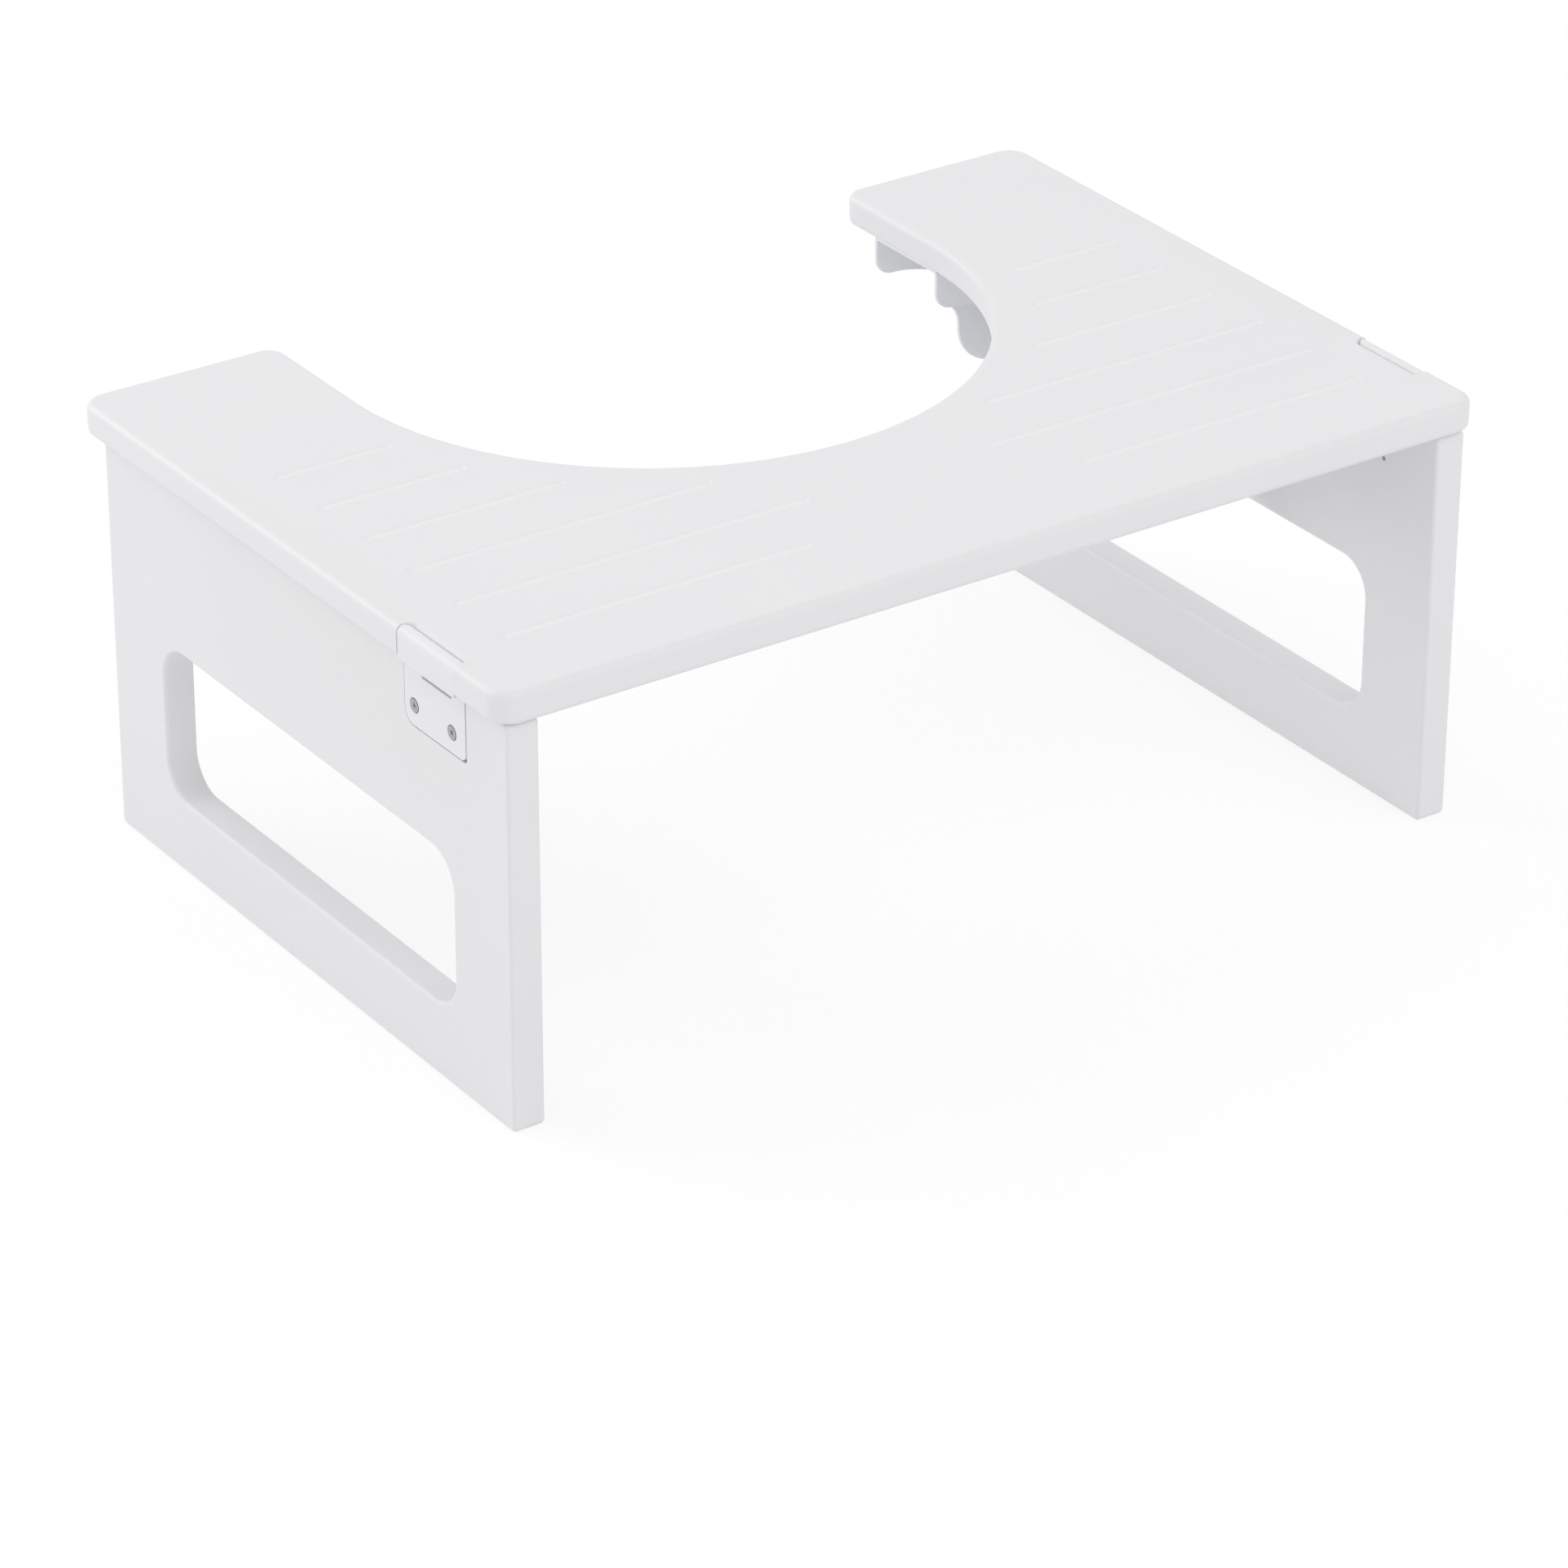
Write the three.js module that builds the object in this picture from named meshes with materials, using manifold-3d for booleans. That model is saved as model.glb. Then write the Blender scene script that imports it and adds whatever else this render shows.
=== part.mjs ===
// Folding toilet footstool, in millimetres.
// The origin lies on the floor under the middle of the top. +Z is up, X runs along the straight
// front edge, and the U-shaped cut-out opens towards +Y. Standing, both legs are down.

import * as THREE from 'three';
import { mergeVertices } from 'three/addons/utils/BufferGeometryUtils.js';
import Module from 'manifold-3d';

// Whole stool
const topWidth = 438;
const topDepth = 297.5;
const topThickness = 13;
const stoolHeight = 178;
const fitGap = 0.3; // left between two pieces that touch
const cutOverrun = 1; // how far a cut runs past the face it opens

// Top board
const outerCornerRadius = 10;
const tipCornerRadius = 8;
const topEdgeRound = 3;
const cutoutRadius = 132.5;
const cutoutCentreInset = 60.25; // from the back edge to the centre of the round bottom

// Grooves, one set to each side of the cut-out
const grooveRows = 6;
const grooveWidth = 4;
const grooveDepth = 0.8;
const groovePitch = 31.15;
const firstGrooveInset = 39.85; // from the front edge
const grooveSideInset = 25.3; // from the side edge
const grooveRimMargin = 16; // from the rim of the cut-out
const firstGrooveStart = 60.4; // from the middle of the top
const secondGrooveStart = 40;

// Leg boards
const legThickness = 13.3;
const legSideInset = 4.5;
const legFrontInset = 2.75;
const legBackInset = 11.25;
const legEdgeRound = 1.6;
const legCornerRadius = 2.2;
const windowLength = 206;
const windowSill = 30.5;
const windowDrop = 70.5; // its upper edge, below the top board
const windowCornerRadius = 14.5;
const pinHoleDiameter = 2; // blind hole in the inner face, near the front
const pinHoleDepth = 4;
const pinHoleInset = 33.75; // from the front edge of the top
const pinHoleDrop = 20.8; // below the top board

// Folding brackets: two pressed channels on one rivet
const sheetThickness = 1.8;
const bendRadius = 2.4; // outside of a bend
const channelWidth = 43; // over the flanges of the table channel
const rearBracketInset = 40.25; // from the back edge to the bracket's middle
const frontBracketInset = 134.25; // from the front edge to the bracket's middle
const pivotDrop = 19.3; // below the top board
const pivotInset = 12.7; // inward of the leg's inner face
const foldAngle = THREE.MathUtils.degToRad(102);

// Table channel, measured from the pivot
const noseRadius = 9.6;
const noseAngle = THREE.MathUtils.degToRad(-105); // where the flange's lower edge meets the nose
const channelReach = 52.8;
const channelEndDepth = 18;
const channelEndRadius = 7.5;
const edgeStartHandleShare = 0.28;
const edgeEndHandleShare = 0.52;

// Leg channel, measured from the pivot
const lobeRise = 18.4;
const lobeRadius = 16;
const lobeHandle = 17.9; // down the lobe's inward side
const shoulderReach = 13.4; // where the lobe's underside turns to the neck
const shoulderDrop = 23;
const shoulderSlope = THREE.MathUtils.degToRad(-34);
const shoulderHandle = 1.8;
const neckReach = 9.7;
const neckDrop = 32;
const neckHandle = 4.5;
const legChannelDrop = 51;
const legChannelEndRadius = 18;

// Lock bar, its catch and its spring, measured from the pivot
const barDiameter = 4;
const barInset = 6.6;
const barRise = 11;
const barTravel = 3;
const barStandOut = 0.8; // past the slotted flange
const barChamfer = 0.5;
const catchDiameter = 6;
const springOuterDiameter = 6.4;
const springWire = 0.9;
const springTurns = 6;
const springSeatDrop = 3.7;
const springSeatWidth = 8;

// Pivot rivet
const rivetDiameter = 5;
const rivetHeadDiameter = 9;
const rivetHeadHeight = 1.6;
const headFlatShare = 0.6;
const headRimShare = 0.4;

// Countersunk screws: one size in the brackets, the next smaller one in the leg plates
const screwHeadDiameter = 7;
const screwHeadHeight = 1.7;
const screwShankDiameter = 3.4;
const screwTipDiameter = 1.2;
const screwTipLength = 2.6;
const screwLength = 11.5;
const plateScrewShare = 0.77; // of a bracket screw's size
const tableScrewNear = 21.5; // inward of the pivot
const tableScrewFar = 41.5;
const legScrewNear = 21; // below the pivot
const legScrewFar = 39;

// Edge cap in the side of the top
const capLength = 37.5;
const capFrontInset = 30.75;
const capThickness = 5;
const capRecess = 0.7; // below the board's own faces
const capEdgeRound = 3;
const capCornerRadius = 3;
const capSlotWidth = 0.9;
const wideRibWidth = 1.7;
const wideRibInset = 15.1; // from the cap's rear end
const narrowRibWidth = 1;
const narrowRibInset = 21.3;
const tongueLength = 26;
const tongueReach = 6;
const tongueHeight = 3;
const tongueRise = 2;

// Leg plate in the outer face of the leg
const plateWidth = 40.4;
const plateFrontInset = 30.55;
const plateDrop = 26.8; // lower edge below the top board
const plateThickness = 2;
const plateRearRadius = 6;
const plateFrontRadius = 2;
const plateNotchWidth = 19.6;
const plateNotchInset = 12; // from the plate's rear edge
const plateNotchDrop = 2.8; // below the top board
const plateNotchDepth = 6; // into the leg behind the plate
const plateScrewDrop = 18.6; // below the top board
const plateScrewFrontInset = 8.9; // from the plate's front edge
const plateScrewSpacing = 25.1;

// Facets. An arc in an extruded outline gets two facets for each of its steps.
const arcSteps = 3;
const bendSteps = 1;
const outlineSteps = 4; // along the side view of a channel
const rimSteps = 36; // along the round bottom of the cut-out
const roundSteps = 10; // round a screw, rivet or bar
const grooveSteps = 18;
const noseSteps = 4;
const springStepsPerTurn = 8;
const springSides = 5;
const camSteps = 8;
const boardRoundSteps = 3;
const legRoundSteps = 2;

// Places that follow from the sizes
const underside = stoolHeight - topThickness;
const halfWidth = topWidth / 2;
const frontEdge = -topDepth / 2;
const backEdge = topDepth / 2;
const cutoutCentre = backEdge - cutoutCentreInset;
const legOuterFace = halfWidth - legSideInset;
const legInnerFace = legOuterFace - legThickness;
const legFront = frontEdge + legFrontInset;
const legBack = backEdge - legBackInset;
const legTop = underside - fitGap;
const pivotX = legInnerFace - pivotInset;
const pivotZ = underside - pivotDrop;
const halfChannel = channelWidth / 2;
const flangeGap = halfChannel + fitGap; // inner face of a leg channel's flange
const flangeOutside = flangeGap + sheetThickness;
const legWebOutside = pivotInset - fitGap; // outward of the pivot
const legWebInside = legWebOutside - sheetThickness;
const capRear = frontEdge + capFrontInset + capLength;
const capFront = frontEdge + capFrontInset;
const capOuterFace = halfWidth - capRecess;
const capInnerFace = capOuterFace - capThickness;
const notchWall = capInnerFace - capSlotWidth;
const plateFront = frontEdge + plateFrontInset;
const plateRear = plateFront + plateWidth;
const plateTop = legTop - fitGap;
const plateBottom = underside - plateDrop;
const plateScrewHeight = underside - plateScrewDrop;

const wasm = await Module();
wasm.setup();

// Materials
function satinPaint() {
  return new THREE.MeshStandardMaterial({ color: 0xe9e9eb, roughness: 0.45, metalness: 0 });
}

function coatedSteel() {
  return new THREE.MeshStandardMaterial({ color: 0xd9dbe0, roughness: 0.4, metalness: 0.1 });
}

function bareSteel() {
  return new THREE.MeshStandardMaterial({ color: 0xa6a8ab, roughness: 0.35, metalness: 0.9 });
}

function whiteNylon() {
  return new THREE.MeshStandardMaterial({ color: 0xe6e6e9, roughness: 0.5, metalness: 0 });
}

// Solids: a closed geometry becomes a manifold solid, and comes back as a geometry
function toSolid(geometry) {
  const bare = geometry.clone();
  bare.deleteAttribute('normal');
  bare.deleteAttribute('uv');
  const merged = mergeVertices(bare);
  const corners = [];
  for (let i = 0; i < merged.index.count; i += 3) {
    const [a, b, c] = merged.index.array.slice(i, i + 3);
    if (a !== b && b !== c && c !== a) {
      corners.push(a, b, c);
    }
  }
  const mesh = new wasm.Mesh({
    numProp: 3,
    vertProperties: new Float32Array(merged.attributes.position.array),
    triVerts: new Uint32Array(corners),
  });
  return new wasm.Manifold(mesh);
}

function toGeometry(solid) {
  const { numProp, vertProperties, triVerts } = solid.getMesh();
  const geometry = new THREE.BufferGeometry();
  const interleaved = new THREE.InterleavedBuffer(vertProperties, numProp);
  geometry.setAttribute('position', new THREE.InterleavedBufferAttribute(interleaved, 3, 0));
  geometry.setIndex(new THREE.BufferAttribute(triVerts, 1));
  const flat = geometry.toNonIndexed();
  flat.computeVertexNormals();
  return flat;
}

// Extrusions along each axis. Across Y a shape is drawn in X and Z, across X in Y and Z.
function extrudeAlongZ(shape, low, high, steps = arcSteps) {
  const options = { depth: high - low, bevelEnabled: false, curveSegments: steps };
  return new THREE.ExtrudeGeometry(shape, options).translate(0, 0, low);
}

function extrudeAlongY(shape, low, high, steps = arcSteps) {
  return extrudeAlongZ(shape, 0, high - low, steps).rotateX(Math.PI / 2).translate(0, high, 0);
}

function extrudeAlongX(shape, low, high, steps = arcSteps) {
  return turnedToX(extrudeAlongZ(shape, 0, high - low, steps)).translate(low, 0, 0);
}

function turnedToX(geometry) {
  return geometry.applyMatrix4(new THREE.Matrix4().set(0, 0, 1, 0, 1, 0, 0, 0, 0, 1, 0, 0, 0, 0, 0, 1));
}

// A board: its shape extruded with every edge rounded, the widest outline being the shape itself
function roundedBoard(shape, thickness, round, roundSegments) {
  return new THREE.ExtrudeGeometry(shape, {
    depth: thickness - 2 * round,
    bevelThickness: round,
    bevelSize: round,
    bevelOffset: -round,
    bevelSegments: roundSegments,
    curveSegments: arcSteps,
  }).translate(0, 0, round);
}

// A quarter turn about a corner's centre, anticlockwise from an angle; a square corner is one point
function corner(shape, centreX, centreY, radius, from) {
  if (radius > 0) {
    shape.absarc(centreX, centreY, radius, from, from + Math.PI / 2);
  } else {
    shape.lineTo(centreX, centreY);
  }
}

// A rectangle with its own radius at each corner, anticlockwise from low left
function cornerRectangle(lowX, lowY, highX, highY, [lowLeft, lowRight, highRight, highLeft]) {
  const shape = new THREE.Shape();
  shape.moveTo(lowX + lowLeft, lowY);
  corner(shape, highX - lowRight, lowY + lowRight, lowRight, -Math.PI / 2);
  corner(shape, highX - highRight, highY - highRight, highRight, 0);
  corner(shape, lowX + highLeft, highY - highLeft, highLeft, Math.PI / 2);
  corner(shape, lowX + lowLeft, lowY + lowLeft, lowLeft, Math.PI);
  return shape;
}

function roundedRectangle(lowX, lowY, highX, highY, radius) {
  return cornerRectangle(lowX, lowY, highX, highY, [radius, radius, radius, radius]);
}

function rectangle(lowX, lowY, highX, highY) {
  return new THREE.Shape([
    new THREE.Vector2(lowX, lowY),
    new THREE.Vector2(highX, lowY),
    new THREE.Vector2(highX, highY),
    new THREE.Vector2(lowX, highY),
  ]);
}

function circle(x, y, diameter) {
  return new THREE.Shape().absarc(x, y, diameter / 2, 0, 2 * Math.PI);
}

// A geometry made for the right-hand side, turned over to the left or to the front
function reflected(geometry, signX, signY) {
  const result = geometry.index ? geometry.toNonIndexed() : geometry.clone();
  result.scale(signX, signY, 1);
  if (signX * signY < 0) {
    const position = result.attributes.position;
    const first = new THREE.Vector3();
    const second = new THREE.Vector3();
    for (let i = 0; i < position.count; i += 3) {
      first.fromBufferAttribute(position, i);
      second.fromBufferAttribute(position, i + 1);
      position.setXYZ(i, second.x, second.y, second.z);
      position.setXYZ(i + 1, first.x, first.y, first.z);
    }
  }
  result.computeVertexNormals();
  return result;
}

// A countersunk screw, head up with its face at z = 0. A margin makes the hole that it sits in.
function screwProfile(margin, headStandOut, share) {
  const headRadius = share * screwHeadDiameter / 2 + margin;
  const shankRadius = share * screwShankDiameter / 2 + margin;
  const tipRadius = share * screwTipDiameter / 2 + margin;
  const headBottom = -share * screwHeadHeight - margin;
  const tip = -share * screwLength - margin;
  return [
    new THREE.Vector2(0, tip),
    new THREE.Vector2(tipRadius, tip),
    new THREE.Vector2(shankRadius, tip + share * screwTipLength),
    new THREE.Vector2(shankRadius, headBottom),
    new THREE.Vector2(headRadius, -margin),
    new THREE.Vector2(headRadius, headStandOut),
    new THREE.Vector2(0, headStandOut),
  ];
}

function screwGeometry(share = 1) {
  const turned = new THREE.LatheGeometry(screwProfile(0, 0, share), roundSteps).rotateX(Math.PI / 2);
  return toGeometry(toSolid(turned));
}

function screwHole(share = 1) {
  return new THREE.LatheGeometry(screwProfile(fitGap, cutOverrun, share), roundSteps).rotateX(Math.PI / 2);
}

// The three ways a screw points: up into the top, outward into a leg, inward into a leg
function pointedUp(geometry) {
  return geometry.rotateX(Math.PI);
}

function pointedOutward(geometry) {
  return geometry.rotateY(-Math.PI / 2);
}

function pointedInward(geometry) {
  return geometry.rotateY(Math.PI / 2);
}

// Top board: the U-shaped plan, its grooves, and what the clips and screws need
function topPlan() {
  const shape = new THREE.Shape();
  const sideCentre = halfWidth - outerCornerRadius;
  const tipCentre = cutoutRadius + tipCornerRadius;
  shape.moveTo(-sideCentre, frontEdge);
  corner(shape, sideCentre, frontEdge + outerCornerRadius, outerCornerRadius, -Math.PI / 2);
  corner(shape, sideCentre, backEdge - outerCornerRadius, outerCornerRadius, 0);
  corner(shape, tipCentre, backEdge - tipCornerRadius, tipCornerRadius, Math.PI / 2);
  for (let i = 0; i <= rimSteps; i += 1) {
    const angle = -Math.PI * i / rimSteps;
    shape.lineTo(cutoutRadius * Math.cos(angle), cutoutCentre + cutoutRadius * Math.sin(angle));
  }
  corner(shape, -tipCentre, backEdge - tipCornerRadius, tipCornerRadius, 0);
  corner(shape, -sideCentre, backEdge - outerCornerRadius, outerCornerRadius, Math.PI / 2);
  corner(shape, -sideCentre, frontEdge + outerCornerRadius, outerCornerRadius, Math.PI);
  return shape;
}

// Where a groove row starts, measured from the middle: the upper rows follow the cut-out's rim
function grooveStart(row, y) {
  if (row === 0) {
    return firstGrooveStart;
  }
  if (row === 1) {
    return secondGrooveStart;
  }
  const reach = cutoutRadius + grooveRimMargin;
  const across = Math.sqrt(Math.max(0, reach * reach - (y - cutoutCentre) ** 2));
  return Math.max(secondGrooveStart, across);
}

// A round-nosed cutter laid along X, so that it leaves a shallow groove with round ends
function grooveCutter(start, end, y) {
  const halfGroove = grooveWidth / 2;
  const cutterRadius = (halfGroove * halfGroove + grooveDepth * grooveDepth) / (2 * grooveDepth);
  const profile = [];
  for (const [centre, from] of [[start + halfGroove, -Math.PI / 2], [end - halfGroove, 0]]) {
    for (let i = 0; i <= noseSteps; i += 1) {
      const angle = from + (Math.PI / 2) * i / noseSteps;
      profile.push(new THREE.Vector2(
        cutterRadius * Math.cos(angle), centre + cutterRadius * Math.sin(angle),
      ));
    }
  }
  const cutter = new THREE.LatheGeometry(profile, grooveSteps).rotateZ(-Math.PI / 2);
  return cutter.translate(0, y, stoolHeight + cutterRadius - grooveDepth);
}

function grooveCutters() {
  const cutters = [];
  for (let row = 0; row < grooveRows; row += 1) {
    const y = frontEdge + firstGrooveInset + row * groovePitch;
    const start = grooveStart(row, y);
    const end = halfWidth - grooveSideInset;
    cutters.push(grooveCutter(start, end, y));
    cutters.push(grooveCutter(-end, -start, y));
  }
  return cutters;
}

// The notch for an edge cap, with the pocket for its tongue
function capNotch() {
  const plan = cornerRectangle(
    notchWall, capFront - fitGap, halfWidth + cutOverrun, capRear + fitGap,
    [0, 0, 0, capCornerRadius + capSlotWidth],
  );
  const notch = toSolid(extrudeAlongZ(plan, underside - cutOverrun, stoolHeight + cutOverrun));
  const middle = (capFront + capRear) / 2;
  const tongueBottom = underside + tongueRise;
  const pocket = new THREE.BoxGeometry(
    tongueReach + 2 * fitGap, tongueLength + 2 * fitGap, tongueHeight + 2 * fitGap,
  ).translate(notchWall - tongueReach / 2, middle, tongueBottom + tongueHeight / 2);
  return notch.add(toSolid(pocket));
}

function topBoard() {
  const board = roundedBoard(topPlan(), topThickness, topEdgeRound, boardRoundSteps);
  let solid = toSolid(board.translate(0, 0, underside));
  for (const cutter of grooveCutters()) {
    solid = solid.subtract(toSolid(cutter));
  }
  const notch = toGeometry(capNotch());
  for (const side of [1, -1]) {
    solid = solid.subtract(toSolid(reflected(notch, side, 1)));
    for (const bracket of bracketPlaces()) {
      for (const reach of [tableScrewNear, tableScrewFar]) {
        const hole = pointedUp(screwHole());
        hole.translate(side * (pivotX - reach), bracket.y, underside - fitGap - sheetThickness);
        solid = solid.subtract(toSolid(hole));
      }
    }
  }
  return toGeometry(solid);
}

// Leg board, made for the right-hand side
function legBoard() {
  const outline = roundedRectangle(legFront, 0, legBack, legTop, legCornerRadius);
  const middle = (legFront + legBack) / 2;
  const reach = windowLength / 2;
  outline.holes.push(roundedRectangle(
    middle - reach, windowSill, middle + reach, underside - windowDrop, windowCornerRadius,
  ));
  const board = turnedToX(roundedBoard(outline, legThickness, legEdgeRound, legRoundSteps));
  let solid = toSolid(board.translate(legInnerFace, 0, 0));
  for (const bracket of bracketPlaces()) {
    for (const drop of [legScrewNear, legScrewFar]) {
      const hole = pointedOutward(screwHole()).translate(pivotX + legWebInside, bracket.y, pivotZ - drop);
      solid = solid.subtract(toSolid(hole));
    }
  }
  for (const y of plateScrewPlaces()) {
    const hole = pointedInward(screwHole(plateScrewShare)).translate(legOuterFace, y, plateScrewHeight);
    solid = solid.subtract(toSolid(hole));
  }
  solid = solid.subtract(platePocket());
  solid = solid.subtract(pinHole());
  return toGeometry(solid);
}

// The small blind hole in the leg's inner face
function pinHole() {
  const hole = circle(frontEdge + pinHoleInset, underside - pinHoleDrop, pinHoleDiameter);
  return toSolid(extrudeAlongX(hole, legInnerFace - cutOverrun, legInnerFace + pinHoleDepth));
}

// The shallow seat of the leg plate, and the deeper slot behind the notch in its upper edge
function platePocket() {
  const seat = plateOutline(fitGap, legTop + cutOverrun);
  const floor = legOuterFace - plateThickness - fitGap;
  const pocket = toSolid(extrudeAlongX(seat, floor, legOuterFace + cutOverrun));
  const slot = rectangle(
    plateRear - plateNotchInset - plateNotchWidth, underside - plateNotchDrop,
    plateRear - plateNotchInset, legTop + cutOverrun,
  );
  return pocket.add(toSolid(extrudeAlongX(slot, floor - plateNotchDepth, floor + plateThickness / 2)));
}

// Leg plate
function plateOutline(margin, top) {
  return cornerRectangle(
    plateFront - margin, plateBottom - margin, plateRear + margin, top,
    [plateFrontRadius + margin, plateRearRadius + margin, 0, 0],
  );
}

function plateScrewPlaces() {
  const front = plateFront + plateScrewFrontInset;
  return [front, front + plateScrewSpacing];
}

function legPlate() {
  let solid = toSolid(extrudeAlongX(plateOutline(0, plateTop), legOuterFace - plateThickness, legOuterFace));
  const notch = rectangle(
    plateRear - plateNotchInset - plateNotchWidth, underside - plateNotchDrop,
    plateRear - plateNotchInset, plateTop + cutOverrun,
  );
  solid = solid.subtract(toSolid(
    extrudeAlongX(notch, legOuterFace - plateThickness - cutOverrun, legOuterFace + cutOverrun),
  ));
  for (const y of plateScrewPlaces()) {
    const hole = pointedInward(screwHole(plateScrewShare)).translate(legOuterFace, y, plateScrewHeight);
    solid = solid.subtract(toSolid(hole));
  }
  return toGeometry(solid);
}

// Edge cap: an outer wall that follows the board's edge, two ribs across the slot, and a tongue
function edgeCap() {
  const capTop = stoolHeight - capRecess;
  const section = cornerRectangle(capInnerFace, underside, capOuterFace, capTop, [0, 0, capEdgeRound, 0]);
  const plan = cornerRectangle(capInnerFace, capFront, capOuterFace, capRear, [0, 0, 0, capCornerRadius]);
  const wall = toSolid(extrudeAlongY(section, capFront - cutOverrun, capRear + cutOverrun));
  const outline = toSolid(extrudeAlongZ(plan, underside - cutOverrun, stoolHeight + cutOverrun));
  let solid = wall.intersect(outline);
  for (const [inset, width] of [[wideRibInset, wideRibWidth], [narrowRibInset, narrowRibWidth]]) {
    const rib = rectangle(
      notchWall + fitGap, capRear - inset - width, capInnerFace + capThickness / 2, capRear - inset,
    );
    solid = solid.add(toSolid(extrudeAlongZ(rib, underside, capTop)));
  }
  const middle = (capFront + capRear) / 2;
  const tongue = rectangle(
    notchWall - tongueReach, middle - tongueLength / 2,
    capInnerFace + capThickness / 2, middle + tongueLength / 2,
  );
  const tongueBottom = underside + tongueRise;
  solid = solid.add(toSolid(extrudeAlongZ(tongue, tongueBottom, tongueBottom + tongueHeight)));
  return toGeometry(solid);
}

// Bracket pieces stand round the pivot: X outward to the leg, Y towards the slotted flange
const tableWebTop = pivotDrop - fitGap;
const tableWebBottom = tableWebTop - sheetThickness;

// A pressed channel's cross-section: back at the top, flanges down, bent round at the corners
function channelSection(halfOutside, back, mouth) {
  const inner = bendRadius - sheetThickness;
  const shape = new THREE.Shape();
  shape.moveTo(-halfOutside, mouth);
  shape.lineTo(-halfOutside + sheetThickness, mouth);
  shape.lineTo(-halfOutside + sheetThickness, back - bendRadius);
  shape.absarc(-halfOutside + bendRadius, back - bendRadius, inner, Math.PI, Math.PI / 2, true);
  shape.lineTo(halfOutside - bendRadius, back - sheetThickness);
  shape.absarc(halfOutside - bendRadius, back - bendRadius, inner, Math.PI / 2, 0, true);
  shape.lineTo(halfOutside - sheetThickness, mouth);
  shape.lineTo(halfOutside, mouth);
  shape.lineTo(halfOutside, back - bendRadius);
  shape.absarc(halfOutside - bendRadius, back - bendRadius, bendRadius, 0, Math.PI / 2);
  shape.lineTo(-halfOutside + bendRadius, back);
  shape.absarc(-halfOutside + bendRadius, back - bendRadius, bendRadius, Math.PI / 2, Math.PI);
  return shape;
}

// Side view of the table channel: a square-cut end, a falling lower edge and a round nose
function tableOutline() {
  const endDepth = pivotDrop - channelEndDepth;
  const start = new THREE.Vector2(-channelReach + channelEndRadius, endDepth);
  const end = new THREE.Vector2(noseRadius * Math.cos(noseAngle), noseRadius * Math.sin(noseAngle));
  const span = end.x - start.x;
  const slope = new THREE.Vector2(-Math.sin(noseAngle), Math.cos(noseAngle));
  const shape = new THREE.Shape();
  shape.moveTo(-channelReach, tableWebTop);
  shape.lineTo(-channelReach, endDepth + channelEndRadius);
  shape.absarc(start.x, endDepth + channelEndRadius, channelEndRadius, Math.PI, Math.PI * 1.5);
  shape.bezierCurveTo(
    start.x + span * edgeStartHandleShare, start.y,
    end.x - span * edgeEndHandleShare * slope.x, end.y - span * edgeEndHandleShare * slope.y,
    end.x, end.y,
  );
  shape.absarc(0, 0, noseRadius, noseAngle, 0);
  shape.lineTo(noseRadius, tableWebTop);
  return shape;
}

function tableChannel() {
  const mouth = -noseRadius - cutOverrun;
  const section = channelSection(halfChannel, tableWebTop, mouth);
  const run = toSolid(extrudeAlongX(section, -channelReach - cutOverrun, noseRadius + cutOverrun, bendSteps));
  const outline = toSolid(extrudeAlongY(tableOutline(), -flangeOutside, flangeOutside, outlineSteps));
  let solid = run.intersect(outline);
  const seatBox = rectangle(
    -barInset - springSeatWidth / 2, -springSeatDrop - sheetThickness,
    -barInset + springSeatWidth / 2, -springSeatDrop,
  );
  const seatEnd = halfChannel - sheetThickness / 2;
  solid = solid.add(toSolid(extrudeAlongY(seatBox, -seatEnd, seatEnd)));
  const rivetHole = circle(0, 0, rivetDiameter + 2 * fitGap);
  solid = solid.subtract(toSolid(extrudeAlongY(rivetHole, -flangeOutside, flangeOutside, roundSteps / 2)));
  const slotHalf = barDiameter / 2 + fitGap;
  const barSlot = roundedRectangle(
    -barInset - slotHalf, barRise - barTravel - slotHalf, -barInset + slotHalf, barRise + slotHalf, slotHalf,
  );
  solid = solid.subtract(toSolid(extrudeAlongY(barSlot, -flangeOutside, flangeOutside)));
  for (const reach of [tableScrewNear, tableScrewFar]) {
    solid = solid.subtract(toSolid(pointedUp(screwHole()).translate(-reach, 0, tableWebBottom)));
  }
  return toGeometry(solid);
}

// Side view of the leg channel: straight at the leg, with a lobe, a neck below its shoulder and a round foot
function legChannelOutline() {
  const lobeCentre = lobeRise - lobeRadius;
  const shoulder = new THREE.Vector2(-shoulderReach, -shoulderDrop);
  const handle = new THREE.Vector2(shoulderHandle).rotateAround(new THREE.Vector2(), shoulderSlope);
  const shape = new THREE.Shape();
  shape.moveTo(legWebOutside, -legChannelDrop);
  shape.lineTo(legWebOutside, lobeRise);
  shape.lineTo(0, lobeRise);
  shape.absarc(0, lobeCentre, lobeRadius, Math.PI / 2, Math.PI);
  shape.bezierCurveTo(
    -lobeRadius, lobeCentre - lobeHandle, shoulder.x - handle.x, shoulder.y - handle.y,
    shoulder.x, shoulder.y,
  );
  shape.bezierCurveTo(
    shoulder.x + handle.x, shoulder.y + handle.y, -neckReach, -neckDrop + neckHandle,
    -neckReach, -neckDrop,
  );
  const footCentre = new THREE.Vector2(legChannelEndRadius - neckReach, legChannelEndRadius - legChannelDrop);
  corner(shape, footCentre.x, footCentre.y, legChannelEndRadius, Math.PI);
  return shape;
}

// The lock bar's place in the leg channel when the leg has turned by an angle
function barInLeg(angle) {
  const rise = barRise - barTravel * angle / foldAngle;
  return new THREE.Vector2(
    -barInset * Math.cos(angle) - rise * Math.sin(angle),
    -barInset * Math.sin(angle) + rise * Math.cos(angle),
  );
}

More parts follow.
